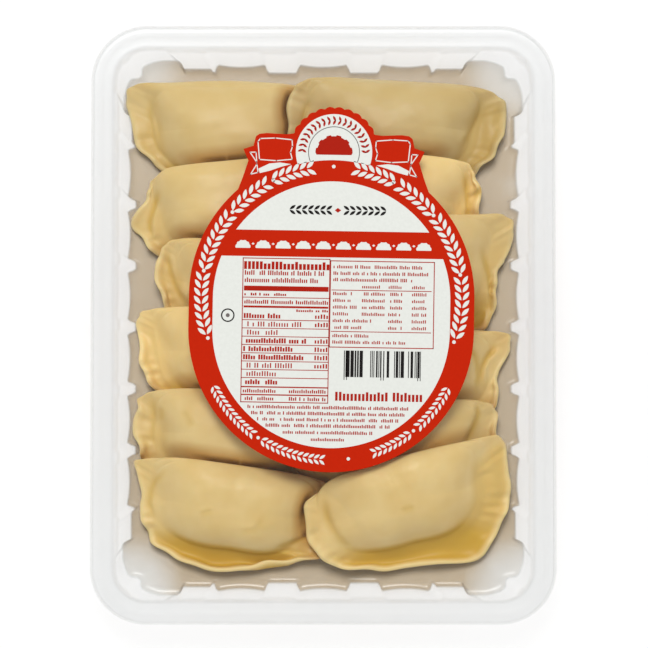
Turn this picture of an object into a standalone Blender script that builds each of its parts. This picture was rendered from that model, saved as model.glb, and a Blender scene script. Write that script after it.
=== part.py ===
"""A shut clear pack of twelve pierogi: fluted tray, domed lid, die-cut label and the dumplings.

The pack lies on its base. +Z is up, the long side runs along Y, and the origin is under its middle.
"""
import math

import bmesh
import bpy
import numpy as np
from mathutils import Vector
from mathutils.bvhtree import BVHTree

MM = 0.001

# ---- driving dimensions, in metres -------------------------------------------------------------
PACK_WIDTH = 191 * MM
PACK_LENGTH = 246 * MM
CORNER_RADIUS = 23 * MM
CORNER_STEPS = 8               # facets round a corner of the lid
SHEET = 0.6 * MM               # thickness of the plastic
GAP = 0.4 * MM                 # clearance between touching pieces

FLANGE_TOP = 26.0 * MM         # height of the tray's flange
FLANGE_INSET = 1.2 * MM        # the flange ends this far inside the lid's skirt
MOUTH_INSET = 9.0 * MM         # from the pack's outer edge to the tray's mouth
FLUTE_START = 23.0 * MM        # the flutes fade out near this height
FLUTE_FADE = 0.45              # share of their depth that is left there
WALL_LEAN = 0.75               # share of the wall's lean that lies above that height
WALL_FOOT = 1.6 * MM           # height where the wall turns under
FOOT_INSET = 1.2 * MM          # from the wall's foot to the flat of the floor
FLOOR_INSET = 4.2 * MM         # the flutes have run out this far in from the wall's foot
FLOOR_FLUTE = 0.2              # share of their depth that is left there

RIB_WIDTH = 156.4 * MM         # across the base, rib to rib
RIB_LENGTH = 212.8 * MM
RIB_CORNER = 12 * MM
PANEL_BULGE = 3.4 * MM         # a panel stands out this far beyond the ribs
FLAT_BULGE = 1.7 * MM          # the plain stretch beside a corner
LOBE_BULGE = 5.2 * MM          # the two lobes at each corner
NOTCH_BULGE = 2.6 * MM         # the notch between them
PANEL = 19.3 * MM
RAMP = 1.7 * MM
LONG_PITCH = 25.7 * MM         # six panels along a long side
SHORT_PITCH = 34.3 * MM        # three along a short side
FLAT_END = 11.5 * MM           # the plain stretch beyond the last panel
CORNER_POINTS = (18, 34, 45, 56, 72)    # degrees round a corner: lobe, notch and lobe
NOTCH_SHARE = 0.25             # share of half a corner that the notch takes up

LID_RIM = 27.0 * MM            # height of the lid's rim
SKIRT_BOTTOM = 20.5 * MM
RIM_CHAMFER = 0.8 * MM         # between the skirt and the rim
BEAD_INSET = 4.3 * MM
BEAD_HEIGHT = 0.9 * MM
BEAD_HALF = 0.9 * MM           # half the bead's width
DOME_INSET = 8.8 * MM
DOME_LEAN = 1.6 * MM           # how far the dome's wall leans in
DOME_CHAMFER = 1.2 * MM        # between that wall and the flat top
DOME_TOP = 35.0 * MM

LABEL_SHEET = 0.3 * MM
LABEL_RADIUS = 58.2 * MM       # of both round ends
LABEL_STRAIGHT = 13.4 * MM     # straight stretch between them
LABEL_AT = (3.3 * MM, 4.0 * MM)
LABEL_TURN = math.radians(-0.95)
BADGE_RADIUS = 18.6 * MM
BADGE_RISE = 65.8 * MM         # from the label's middle to the badge's
BADGE_FROM = 24                # degrees at which the badge's edge leaves the ribbon
BADGE_SWEEP = 132              # degrees that it shows over the ribbons
BODY_SWEEP = 48                # degrees from the body's side to the ribbon's foot
SCALLOPS = 28
SCALLOP_DEPTH = 0.5 * MM
RIBBON = [(37.2, 54.6), (34.9, 61.8), (37.0, 66.5), (32.9, 67.9), (32.0, 71.7), (27.5, 73.2), (19.5, 72.8)]

FOLD_PART = 0.42               # share of a dumpling's width on the folded side of its spine
FOLD_SQUARE = 3.0              # how square the outline's corners are behind, and in front
FRONT_SQUARE = 2.35
FOLD_BORDER = 1.8 * MM         # the border that stands for the rounded fold
BELLY_RISE = 22.0 * MM         # height of a dumpling's belly
RIM_LIFT = 3.4 * MM            # height of the crimp's middle over what the dumpling lies on
RIM_HALF = 1.5 * MM            # half the crimp's thickness
RIM_WAVE = 0.9 * MM            # how far the crimp waves up and down
RIM_SWELL = 0.012              # how far it waves in and out, as a share of the outline
CRIMP_FROM = 0.92              # sine of the angle where the crimp begins beside the fold
CRIMP_FULL = 0.55              # and where it has its full width
DOME_POWER = 2.6               # how flat the belly is on top
HEEL_POWER = 0.7               # how full the underside is
FOLD_STEEP = 0.5               # the belly rounds over at the fold, and runs out into the crimp
FRONT_STEEP = 0.85
FOLD_EDGE = 0.42               # height of the folded edge, as a share of the belly
SIDES = 22                     # points round a dumpling's outline
BELLY_STEPS = (0.5, 0.9)       # rings of points across the belly, and across the crimp
RIM_STEPS = (0.2, 0.85, 1.0)
SAG_RADIUS = 14 * MM           # how softly a dumpling bends over what it lies on
GIVE = 0.45                    # share of its thickness that the soft filling gives way by
TILT_SHARE = 0.35              # share of a push from below that always reaches the top
SETTLE_ROUNDS = 40
SETTLE_MARGIN = 0.02 * MM      # each push goes this much past what is needed

# One row for each dumpling, in the order they are laid: middle, length and width in mm, turn in
# degrees, the crimp's width at the left end, along the front and at the right end, and the belly's
# height as a share of BELLY_RISE.
DUMPLINGS = [
    (-40.5, 76.5, 75, 45.0, 0, 7, 8, 6, 0.96),
    (30.0, 79.0, 88, 46.0, -3, 9, 8, 13, 1.00),
    (-37.5, 45.5, 79, 45.0, 5, 7, 8, 6, 1.00),
    (26.5, 49.0, 79, 44.0, -4, 6, 8, 9, 0.96),
    (-31.0, 11.5, 78, 44.0, -7, 8, 8, 6, 0.93),
    (38.0, 20.5, 79, 48.0, 4, 6, 8, 12, 0.97),
    (-37.0, -16.0, 79, 44.0, 0, 7, 8, 6, 1.00),
    (37.5, -24.0, 79, 44.0, 2, 6, 8, 9, 0.95),
    (-38.5, -48.5, 78, 44.0, -2, 7, 8, 6, 0.98),
    (33.5, -54.5, 78, 44.0, 5, 6, 8, 8, 0.94),
    (-37.0, -78.5, 82, 45.5, -4, 8, 9, 7, 1.00),
    (34.5, -77.0, 86, 46.0, 14, 10, 10, 12, 1.03),
]


def clear_scene():
    """Take away whatever the new file came with."""
    for old in list(bpy.data.objects):
        bpy.data.objects.remove(old, do_unlink=True)


def plain_material(name, colour, roughness, alpha=1.0):
    """A Principled material in one colour."""
    material = bpy.data.materials.new(name)
    material.use_nodes = True
    shader = material.node_tree.nodes["Principled BSDF"]
    shader.inputs["Base Color"].default_value = (*colour, 1.0)
    shader.inputs["Roughness"].default_value = roughness
    shader.inputs["Metallic"].default_value = 0.0
    shader.inputs["Alpha"].default_value = alpha
    return material


def add_object(name, mesh, material, group):
    """Put a mesh in the scene under a name."""
    mesh.materials.append(material)
    made = bpy.data.objects.new(name, mesh)
    group.objects.link(made)
    return made


def ease(low, high, values):
    """0 below low, 1 above high, and an even curve between them, for a number or an array."""
    share = np.clip((values - low) / (high - low), 0.0, 1.0)
    return share * share * (3.0 - 2.0 * share)


# ---- tray and lid ------------------------------------------------------------------------------
def side_marks(panels, pitch, lobe_end):
    """Distances from a side's middle, each with how far the wall stands out there."""
    marks = [] if panels % 2 else [(0.0, 0.0)]
    first = 0.0 if panels % 2 else pitch / 2
    for number in range((panels + 1) // 2):
        middle = first + number * pitch
        half = PANEL / 2
        if middle > 0.0:
            marks += [(middle - half - RAMP, 0.0), (middle - half, PANEL_BULGE)]
        marks += [(middle, PANEL_BULGE), (middle + half, PANEL_BULGE)]
        if number < (panels + 1) // 2 - 1:
            marks += [(middle + half + RAMP, 0.0)]
    flat_start = marks[-1][0] + RAMP
    marks += [(flat_start, FLAT_BULGE), (flat_start + FLAT_END, FLAT_BULGE)]
    marks += [(flat_start + FLAT_END + RAMP, LOBE_BULGE), (lobe_end, LOBE_BULGE)]
    return marks


def quarter_marks():
    """The base outline's points in one quarter: kind, place along it and bulge."""
    long_run = RIB_LENGTH / 2 - RIB_CORNER
    short_run = RIB_WIDTH / 2 - RIB_CORNER
    marks = []
    for along, bulge in side_marks(6, LONG_PITCH, long_run):
        marks.append(("long", along / long_run, bulge))
    for degrees in CORNER_POINTS:
        away = abs(degrees - 45) / 45
        bulge = NOTCH_BULGE + (LOBE_BULGE - NOTCH_BULGE) * ease(0.0, NOTCH_SHARE, away)
        marks.append(("corner", math.radians(degrees), bulge))
    for along, bulge in reversed(side_marks(3, SHORT_PITCH, short_run)):
        marks.append(("short", along / short_run, bulge))
    return marks


def quarter_outline(half_x, half_y, corner, flute):
    """One quarter of an outline, from the middle of the +X side to the middle of the +Y side."""
    points = []
    for kind, place, bulge in quarter_marks():
        out = bulge * flute
        if kind == "long":
            points.append((half_x + out, place * (half_y - corner)))
        elif kind == "short":
            points.append((place * (half_x - corner), half_y + out))
        else:
            reach = corner + out
            x = half_x - corner + reach * math.cos(place)
            y = half_y - corner + reach * math.sin(place)
            points.append((x, y))
    return points


def whole_outline(quarter):
    """Mirror a quarter into all four, without repeating the points on the axes."""
    above = list(quarter) + [(-x, y) for x, y in reversed(quarter) if x > 0.0]
    below = [(-x, -y) for x, y in above if y > 0.0]
    return above + below


def inset_ring(inset, height):
    """A plain rounded rectangle, a set distance inside the pack's outer edge, with the tray's points."""
    corner = CORNER_RADIUS - inset
    quarter = quarter_outline(PACK_WIDTH / 2 - inset, PACK_LENGTH / 2 - inset, corner, 0.0)
    return whole_outline(quarter), height


def round_ring(inset, height):
    """The same rounded rectangle with points only round its corners."""
    corner = CORNER_RADIUS - inset
    middle_x = PACK_WIDTH / 2 - CORNER_RADIUS
    middle_y = PACK_LENGTH / 2 - CORNER_RADIUS
    quarter = []
    for step in range(CORNER_STEPS + 1):
        angle = math.pi / 2 * step / CORNER_STEPS
        quarter.append((middle_x + corner * math.cos(angle), middle_y + corner * math.sin(angle)))
    return whole_outline(quarter), height


def fluted_ring(inset, height, flute):
    """The ribbed base outline, drawn in by inset, with its flutes at a share of their depth."""
    half_x = RIB_WIDTH / 2 - inset
    half_y = RIB_LENGTH / 2 - inset
    return whole_outline(quarter_outline(half_x, half_y, RIB_CORNER, flute)), height


def loft(name, rings):
    """An open surface through a stack of outlines, closed by a flat face inside the last."""
    sheet = bmesh.new()
    loops = []
    for outline, height in rings:
        loops.append([sheet.verts.new((x, y, height)) for x, y in outline])
    count = len(loops[0])
    for lower, upper in zip(loops, loops[1:]):
        for index in range(count):
            after = (index + 1) % count
            sheet.faces.new((lower[index], lower[after], upper[after], upper[index]))
    sheet.faces.new(loops[-1])
    bmesh.ops.recalc_face_normals(sheet, faces=sheet.faces)
    mesh = bpy.data.meshes.new(name)
    sheet.to_mesh(mesh)
    sheet.free()
    return mesh


def thicken(made):
    """Give an open surface the sheet's thickness, half to each side."""
    shell = made.modifiers.new("Sheet", "SOLIDIFY")
    shell.thickness = SHEET
    shell.offset = 0.0


def make_tray(material, group):
    """Flange, fluted wall and flat floor in one formed sheet."""
    mouth_rib_inset = RIB_WIDTH / 2 - (PACK_WIDTH / 2 - MOUTH_INSET)
    rings = [
        inset_ring(FLANGE_INSET, FLANGE_TOP),
        inset_ring(MOUTH_INSET, FLANGE_TOP),
        fluted_ring(mouth_rib_inset * WALL_LEAN, FLUTE_START, FLUTE_FADE),
        fluted_ring(0.0, WALL_FOOT, 1.0),
        fluted_ring(FOOT_INSET, SHEET / 2, 1.0),
        fluted_ring(FLOOR_INSET, SHEET / 2, FLOOR_FLUTE),
    ]
    tray = add_object("tray", loft("tray", rings), material, group)
    thicken(tray)
    return tray


def make_lid(material, group):
    """Skirt, rim with a raised bead, and a low flat-topped dome."""
    rings = [
        round_ring(SHEET / 2, SKIRT_BOTTOM),
        round_ring(SHEET / 2, LID_RIM - RIM_CHAMFER),
        round_ring(SHEET / 2 + RIM_CHAMFER, LID_RIM),
        round_ring(BEAD_INSET - BEAD_HALF, LID_RIM),
        round_ring(BEAD_INSET, LID_RIM + BEAD_HEIGHT),
        round_ring(BEAD_INSET + BEAD_HALF, LID_RIM),
        round_ring(DOME_INSET, LID_RIM),
        round_ring(DOME_INSET + DOME_LEAN, DOME_TOP - DOME_CHAMFER),
        round_ring(DOME_INSET + DOME_LEAN + DOME_CHAMFER, DOME_TOP),
    ]
    lid = add_object("lid", loft("lid", rings), material, group)
    thicken(lid)
    return lid


# ---- label -------------------------------------------------------------------------------------
def arc(centre, radius, start, end, steps):
    """Points along a circle, angles in degrees."""
    points = []
    for step in range(steps + 1):
        angle = math.radians(start + (end - start) * step / steps)
        points.append((centre[0] + radius * math.cos(angle), centre[1] + radius * math.sin(angle)))
    return points


def label_outline():
    """A long round body with a scalloped badge on top and a ribbon tail to either side."""
    half = LABEL_STRAIGHT / 2
    outline = arc((0.0, -half), LABEL_RADIUS, -180, 0, 40)
    outline += arc((0.0, half), LABEL_RADIUS, 0, BODY_SWEEP, 12)
    tail = [(x * MM, y * MM) for x, y in RIBBON]
    outline += tail
    steps = SCALLOPS * 2
    for step in range(steps + 1):
        angle = BADGE_FROM + BADGE_SWEEP * step / steps
        wave = abs(math.sin(math.radians(angle) * SCALLOPS / 2))
        radius = BADGE_RADIUS - SCALLOP_DEPTH * (1 - wave)
        x = radius * math.cos(math.radians(angle))
        y = BADGE_RISE + radius * math.sin(math.radians(angle))
        outline.append((x, y))
    outline += [(-x, y) for x, y in reversed(tail)]
    outline += arc((0.0, half), LABEL_RADIUS, 180 - BODY_SWEEP, 180, 12)
    return outline


def make_label(material, group):
    """The label's card, lying on the lid with its top up."""
    curve = bpy.data.curves.new("label", "CURVE")
    curve.dimensions = "2D"
    curve.fill_mode = "BOTH"
    curve.extrude = LABEL_SHEET / 2
    spline = curve.splines.new("POLY")
    outline = label_outline()
    spline.points.add(len(outline) - 1)
    for point, (x, y) in zip(spline.points, outline):
        point.co = (x, y, 0.0, 1.0)
    spline.use_cyclic_u = True
    label = add_object("label", curve, material, group)
    label.location = (*LABEL_AT, DOME_TOP + SHEET / 2 + GAP + LABEL_SHEET / 2)
    label.rotation_euler = (0.0, 0.0, LABEL_TURN)
    weld = label.modifiers.new("Weld caps", "WELD")
    weld.merge_threshold = 0.01 * MM
    return label


# ---- dumplings ---------------------------------------------------------------------------------
def around(number):
    """Round a dumpling's edge: angles, the crimp's share of the edge, its waves and its width."""
    _, _, _, _, _, left, front, right, _ = DUMPLINGS[number]
    angle = 2 * math.pi * (np.arange(SIDES) + 0.5) / SIDES
    crimp = 1.0 - ease(CRIMP_FULL, CRIMP_FROM, np.sin(angle))
    wave = crimp * (0.6 * np.sin(5 * angle + 1.7 * number) + 0.4 * np.sin(9 * angle + 2.9 * number))
    end = np.where(np.cos(angle) < 0, left, right)
    border = (front + (end - front) * ease(0.5, 0.95, np.abs(np.cos(angle)))) * MM
    return angle, crimp, wave, border


def half_moon(number, angle, wave, share):
    """A closed line round the spine: an ellipse near it, and the flat-backed half moon at the edge."""
    _, _, length, width, _, _, _, _, _ = DUMPLINGS[number]
    cosine = np.cos(angle)
    sine = np.sin(angle)
    square = np.where(sine > 0, FOLD_SQUARE, FRONT_SQUARE)
    power = 1.0 + (2.0 / square - 1.0) * share
    reach = np.where(sine > 0, FOLD_PART, 1 - FOLD_PART) * width * MM
    swell = share * (1.0 + RIM_SWELL * wave)
    along = length * MM / 2 * np.sign(cosine) * np.abs(cosine) ** power * swell
    across = reach * np.sign(sine) * np.abs(sine) ** power * swell
    return along, across


def dumpling_rings(number):
    """Rings of points on top and underneath, from the crown out to the shared edge."""
    x, y, _, width, turn, _, _, _, rise = DUMPLINGS[number]
    angle, crimp, wave, border = around(number)
    edge = np.hypot(*half_moon(number, angle, wave, np.ones(SIDES)))
    inner = 1.0 - (FOLD_BORDER + (border - FOLD_BORDER) * crimp) / edge
    belly_edge = 1.0 - crimp * border / edge
    belly = BELLY_RISE * rise
    steepness = FOLD_STEEP + (FRONT_STEEP - FOLD_STEEP) * (1.0 - ease(-0.4, 1.0, np.sin(angle)))
    shares = [step * inner for step in BELLY_STEPS]
    shares += [inner + step * (1.0 - inner) for step in RIM_STEPS]
    cosine = math.cos(math.radians(turn))
    sine = math.sin(math.radians(turn))
    spine = width * MM * (0.5 - FOLD_PART)
    tops = []
    bottoms = []
    for share in shares:
        rim = RIM_LIFT + RIM_WAVE * wave * ease(0.0, 1.0, (share - inner) / (1.0 - inner))
        middle = FOLD_EDGE * belly + (rim - FOLD_EDGE * belly) * crimp
        dome = np.maximum(1.0 - (share / belly_edge) ** DOME_POWER, 0.0) ** steepness
        skin = RIM_HALF * crimp * (share < 1.0)
        along, across = half_moon(number, angle, wave, share)
        plan_x = x * MM + along * cosine - (across + spine) * sine
        plan_y = y * MM + along * sine + (across + spine) * cosine
        upper = middle + skin + (belly - middle - skin) * dome
        lower = (middle - skin) * (1.0 - dome) ** HEEL_POWER
        tops.append(np.stack([plan_x, plan_y, upper], axis=1))
        bottoms.append(np.stack([plan_x, plan_y, lower], axis=1))
    crown = np.array([[x * MM - spine * sine, y * MM + spine * cosine, belly]])
    return tops, bottoms, crown


def dumpling_shape(number):
    """Points, triangles and give of one dumpling lying flat at height 0.

    A point's give is how much of a push from below the soft filling takes up before it moves.
    """
    tops, bottoms, crown = dumpling_rings(number)
    heel = crown * (1.0, 1.0, 0.0)
    points = np.concatenate([crown, *tops, *reversed(bottoms[:-1]), heel])
    thickness = [upper[:, 2] - lower[:, 2] for upper, lower in zip(tops, bottoms)]
    give = np.zeros(len(points))
    give[0] = crown[0, 2]
    give[1:1 + len(tops) * SIDES] = np.concatenate(thickness)
    give = GIVE * np.maximum(give - 2 * RIM_HALF, 0.0)
    rings = 2 * len(tops) - 1
    heel_index = len(points) - 1
    triangles = []
    for side in range(SIDES):
        after = (side + 1) % SIDES
        triangles.append((0, 1 + side, 1 + after))
        for ring in range(rings - 1):
            near = 1 + ring * SIDES
            far = near + SIDES
            triangles.append((near + side, far + side, far + after))
            triangles.append((near + side, far + after, near + after))
        triangles.append((heel_index - SIDES + side, heel_index, heel_index - SIDES + after))
    edge_start = 1 + (len(tops) - 1) * SIDES
    underside = [face for face in triangles if min(face) >= edge_start]
    return points, triangles, underside, give


def spread(points, triangles):
    """Points spread evenly over every triangle, to measure clearances at."""
    weights = [(a / 3, b / 3, (3 - a - b) / 3) for a in range(4) for b in range(4 - a)]
    corners = points[np.array(triangles)]
    return np.einsum("sk,tkc->tsc", np.array(weights), corners).reshape(-1, 3)


def shortfalls(points, underside, pile, floor):
    """Where the dumpling must rise, and by how much, to clear the floor and the pile."""
    needs = []
    up = Vector((0, 0, 1))
    own = BVHTree.FromPolygons(points.tolist(), underside)
    for x, y, z in spread(points, underside):
        need = floor - z
        for tree, _ in pile:
            hit = tree.ray_cast(Vector((x, y, 1.0)), -up)[0]
            if hit:
                need = max(need, hit.z + GAP - z)
        needs.append((x, y, need))
    for _, placed in pile:
        for x, y, z in placed:
            hit = own.ray_cast(Vector((x, y, -1.0)), up)[0]
            if hit:
                needs.append((x, y, z + GAP - hit.z))
    return np.array([need for need in needs if need[2] > 0.0])


def settle(number, pile, floor):
    """Lift a dumpling, softly round each touching place, until it clears everything below."""
    flat, triangles, underside, give = dumpling_shape(number)
    flat[:, 2] += floor
    lift = np.zeros(len(flat))
    points = flat.copy()
    for _ in range(SETTLE_ROUNDS):
        needs = shortfalls(points, underside, pile, floor)
        if len(needs) == 0:
            break
        away_x = flat[:, None, 0] - needs[None, :, 0]
        away_y = flat[:, None, 1] - needs[None, :, 1]
        near = np.exp(-(away_x ** 2 + away_y ** 2) / (2 * SAG_RADIUS ** 2))
        lift += (near * (needs[None, :, 2] + SETTLE_MARGIN)).max(axis=1)
        points[:, 2] = flat[:, 2] + np.maximum(lift - give, TILT_SHARE * lift)
    return points, triangles


def make_dumplings(material, group):
    """Lay the dumplings in order, each over the ones before it."""
    floor = SHEET + GAP
    pile = []
    for number in range(len(DUMPLINGS)):
        points, triangles = settle(number, pile, floor)
        mesh = bpy.data.meshes.new("pierogi")
        mesh.from_pydata(points.tolist(), [], triangles)
        mesh.shade_smooth()
        add_object(f"pierogi_{number + 1:02d}", mesh, material, group)
        pile.append((BVHTree.FromPolygons(points.tolist(), triangles), points))


def main():
    """Build the pack."""
    clear_scene()
    group = bpy.data.collections.new("pierogi_pack")
    bpy.context.scene.collection.children.link(group)
    plastic = plain_material("clear_plastic", (0.92, 0.93, 0.92), 0.12, 0.25)
    card = plain_material("label_card", (0.62, 0.04, 0.01), 0.35)
    dough = plain_material("dough", (0.66, 0.50, 0.22), 0.45)
    make_tray(plastic, group)
    make_lid(plastic, group)
    make_label(card, group)
    make_dumplings(dough, group)


main()
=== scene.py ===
# %% [markdown]
# # A shut pack of pierogi
# Twelve filled dumplings lie shingled in a clear fluted tray, under a clear lid with a die-cut
# label. This lesson builds their looks around a measured model of the pack, which is loaded
# first. Its boxes give the pack's sizes, and everything here has to stay inside them.

# %% Load the measured pack
import math
import bmesh
import bpy
import numpy as np
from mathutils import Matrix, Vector
from mathutils.bvhtree import BVHTree
from mathutils.kdtree import KDTree


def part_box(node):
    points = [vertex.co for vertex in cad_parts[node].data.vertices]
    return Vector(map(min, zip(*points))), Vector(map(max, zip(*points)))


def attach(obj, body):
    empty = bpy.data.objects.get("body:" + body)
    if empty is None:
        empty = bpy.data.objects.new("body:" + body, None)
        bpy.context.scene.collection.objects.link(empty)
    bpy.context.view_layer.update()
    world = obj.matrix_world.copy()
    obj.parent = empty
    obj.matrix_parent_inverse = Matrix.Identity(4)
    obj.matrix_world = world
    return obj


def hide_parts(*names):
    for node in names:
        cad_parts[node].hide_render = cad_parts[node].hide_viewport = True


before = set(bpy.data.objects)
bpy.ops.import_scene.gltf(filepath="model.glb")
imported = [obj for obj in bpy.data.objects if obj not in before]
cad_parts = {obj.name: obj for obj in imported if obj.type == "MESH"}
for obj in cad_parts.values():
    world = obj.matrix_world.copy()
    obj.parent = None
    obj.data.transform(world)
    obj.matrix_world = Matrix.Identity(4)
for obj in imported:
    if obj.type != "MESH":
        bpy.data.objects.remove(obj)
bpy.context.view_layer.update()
MM = 0.001
tray_low, tray_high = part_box("tray")
lid_low, lid_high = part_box("lid")
label_low, label_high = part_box("label")
pack_width = lid_high.x - lid_low.x
pack_length = lid_high.y - lid_low.y
print(f"pack {pack_width / MM:.0f} x {pack_length / MM:.0f} x {label_high.z / MM:.0f} mm")

# %% [markdown]
# ## Camera
# Packs are pictured from almost straight above. A long lens keeps the walls from splaying, and
# a small lean towards the front shows the foot of the tray a little lower than its rim. The
# lens length follows from the distance and from how much of the picture the pack fills.

# %% Camera above the lid
DISTANCE = 1.6
LEAN = math.radians(3.0)
PACK_SHARE = 0.926
SENSOR = 36.0

rim_height = tray_high.z
camera_data = bpy.data.cameras.new("camera")
camera_data.sensor_width = SENSOR
camera_data.lens = SENSOR * DISTANCE * PACK_SHARE / pack_length
camera = bpy.data.objects.new("camera", camera_data)
bpy.context.scene.collection.objects.link(camera)
aim = Vector((0.3 * MM, 0.0, rim_height))
camera.location = aim + DISTANCE * Vector((0.0, -math.sin(LEAN), math.cos(LEAN)))
camera.rotation_euler = (LEAN, 0.0, 0.0)
bpy.context.scene.camera = camera
print(f"lens {camera_data.lens:.0f} mm")

# %% [markdown]
# ## Light and floor
# A wide soft light from behind the pack leaves gentle shade on the near side of each dumpling,
# and a bright even world fills the rest. The floor is plain and pale, so the clear plastic has
# something light to show through it.

# %% Soft light and a pale floor
scene = bpy.context.scene
scene.view_settings.view_transform = "Standard"
scene.cycles.transparent_max_bounces = 24


def put(tree, kind, *inputs, **settings):
    """Add a node, set its properties, and give its inputs values or links in order."""
    node = tree.nodes.new(kind)
    for name, value in settings.items():
        setattr(node, name, value)
    for socket, value in zip(node.inputs, inputs):
        wire(tree, socket, value)
    return node


def wire(tree, socket, value):
    """Link a socket to an output, or set it to a plain value; None leaves it alone."""
    if isinstance(value, bpy.types.Node):
        value = value.outputs[0]
    if isinstance(value, bpy.types.NodeSocket):
        tree.links.new(value, socket)
    elif value is not None:
        socket.default_value = value


def maths(tree, operation, *values):
    """One arithmetic step."""
    return put(tree, "ShaderNodeMath", *values, operation=operation).outputs[0]


world = bpy.data.worlds.new("studio")
scene.world = world
world.use_nodes = True
world.node_tree.nodes["Background"].inputs["Color"].default_value = (1.0, 1.0, 1.0, 1.0)
world.node_tree.nodes["Background"].inputs["Strength"].default_value = 0.55


def soft_light(name, place, size, watts):
    """A square area light that faces the pack."""
    lamp = bpy.data.lights.new(name, "AREA")
    lamp.size = size
    lamp.energy = watts
    made = bpy.data.objects.new(name, lamp)
    made.location = place
    made.rotation_euler = (-Vector(place)).to_track_quat("-Z", "Y").to_euler()
    scene.collection.objects.link(made)
    return made


soft_light("back_window", (-0.20, 1.30, 3.52), 1.2, 84.0)
bpy.ops.mesh.primitive_plane_add(size=8.0, location=(0.0, 0.0, -0.0003))
floor = bpy.context.object
floor.name = "floor"
floor_paint = bpy.data.materials.new("pale_floor")
floor_paint.use_nodes = True
floor_paint.node_tree.nodes["Principled BSDF"].inputs["Base Color"].default_value = (0.96, 0.96, 0.96, 1.0)
floor_paint.node_tree.nodes["Principled BSDF"].inputs["Roughness"].default_value = 0.8
floor.data.materials.append(floor_paint)
print("one soft light, a bright world and a floor")

# %% [markdown]
# ## The dumplings' shape
# A pieróg is a disc of dough folded over its filling and crimped along the open edge. Seen from
# above it is a flat-backed half moon: thick and round along the fold, running out into a thin
# wavy crimp at the front and the ends. It could be sculpted, but twelve of them in one family
# are easier as a polar grid, with rings from the crown out to the edge. Near the crown the
# rings are ellipses and at the edge they are the half moon, so no ridge runs across the belly.

# %% Sizes of the dumplings
# One row for each, in the order they are laid: middle, length and width in mm, turn in degrees,
# the crimp's width at the left end, along the front and at the right end, and the belly's
# height as a share of the usual one. Their outlines stay within a few mm of the measured model's.
DUMPLINGS = [
    (-39.5, 77.3, 77, 46.5, 0, 9, 8, 6, 0.96),
    (30.0, 79.0, 88, 46.0, -3, 8, 8, 12, 1.00),
    (-37.5, 45.5, 79, 45.0, 5, 8.5, 8, 6, 1.00),
    (26.5, 49.0, 79, 44.0, -4, 6, 8, 9, 0.96),
    (-31.0, 11.5, 78, 44.0, -7, 9, 8, 6, 0.93),
    (38.0, 20.5, 79, 48.0, 4, 6, 8, 8.5, 0.97),
    (-37.0, -15.2, 79, 44.0, -3, 8.8, 8, 6, 1.00),
    (37.5, -24.0, 79, 44.0, 2, 6, 8, 8, 0.95),
    (-38.5, -48.5, 78, 44.0, -2, 8.6, 8, 6, 0.98),
    (31.0, -54.9, 84, 45.0, 5, 6, 8, 8, 0.96),
    (-37.0, -79.6, 82, 44.0, -8, 7.5, 9, 9.5, 1.00),
    (34.8, -77.0, 85, 46.0, 14, 7.8, 10, 12, 1.03),
]
FOLD_PART = 0.42
FOLD_SQUARE = 5.0
FRONT_SQUARE = 2.35
SIDES = 252


def ease(low, high, values):
    """0 below low, 1 above high, and an even curve between them."""
    share = np.clip((values - low) / (high - low), 0.0, 1.0)
    return share * share * (3.0 - 2.0 * share)


def half_moon(number, angle, share):
    """A closed line round the spine: an ellipse near it, and the half moon at the edge."""
    length, width = DUMPLINGS[number][2:4]
    cosine = np.cos(angle)
    sine = np.sin(angle)
    power = 1.0 + (2.0 / np.where(sine > 0, FOLD_SQUARE, FRONT_SQUARE) - 1.0) * share
    reach = np.where(sine > 0, FOLD_PART, 1.0 - FOLD_PART) * width * MM
    along = length * MM / 2 * np.sign(cosine) * np.abs(cosine) ** power * share
    across = reach * np.sign(sine) * np.abs(sine) ** power * share
    return along, across


def even_angles(number):
    """Angles that space the points evenly along a dumpling's edge."""
    fine = np.linspace(0.0, 2 * math.pi, 2881)
    along, across = half_moon(number, fine, 1.0)
    run = np.concatenate([[0.0], np.cumsum(np.hypot(np.diff(along), np.diff(across)))])
    return np.interp((np.arange(SIDES) + 0.5) / SIDES * run[-1], run, fine)


print(len(DUMPLINGS), "dumplings with", SIDES, "points round each")

# %% [markdown]
# ## Hand-made unevenness
# No two dumplings are alike. Each gets its own soft lumps on the belly and slow waves along the
# crimp. Both come from sums of sine waves with seeded phases, so they are smooth at every scale
# and the same on each run.

# %% Waves and lumps with a seed of their own
def ring_wave(number, salt, angle, counts):
    """An uneven wave round the edge, about -1 to 1."""
    draw = np.random.default_rng(1000 * salt + number)
    total = np.zeros_like(angle)
    for count in counts:
        total += draw.uniform(0.5, 1.0) * np.sin(count * angle + draw.uniform(0.0, 2 * math.pi))
    return total / math.sqrt(len(counts))


def lumps(number, salt, x, y, wavelength):
    """Soft lumps over a surface, about -1 to 1."""
    draw = np.random.default_rng(5000 * salt + number)
    total = np.zeros_like(x)
    for _ in range(7):
        heading = draw.uniform(0.0, 2 * math.pi)
        pace = 2 * math.pi / (wavelength * draw.uniform(0.7, 1.5))
        total += np.sin(pace * (x * math.cos(heading) + y * math.sin(heading)) + draw.uniform(0.0, 6.28))
    return total / math.sqrt(7)


print("waves and lumps are seeded by dumpling")
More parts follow.
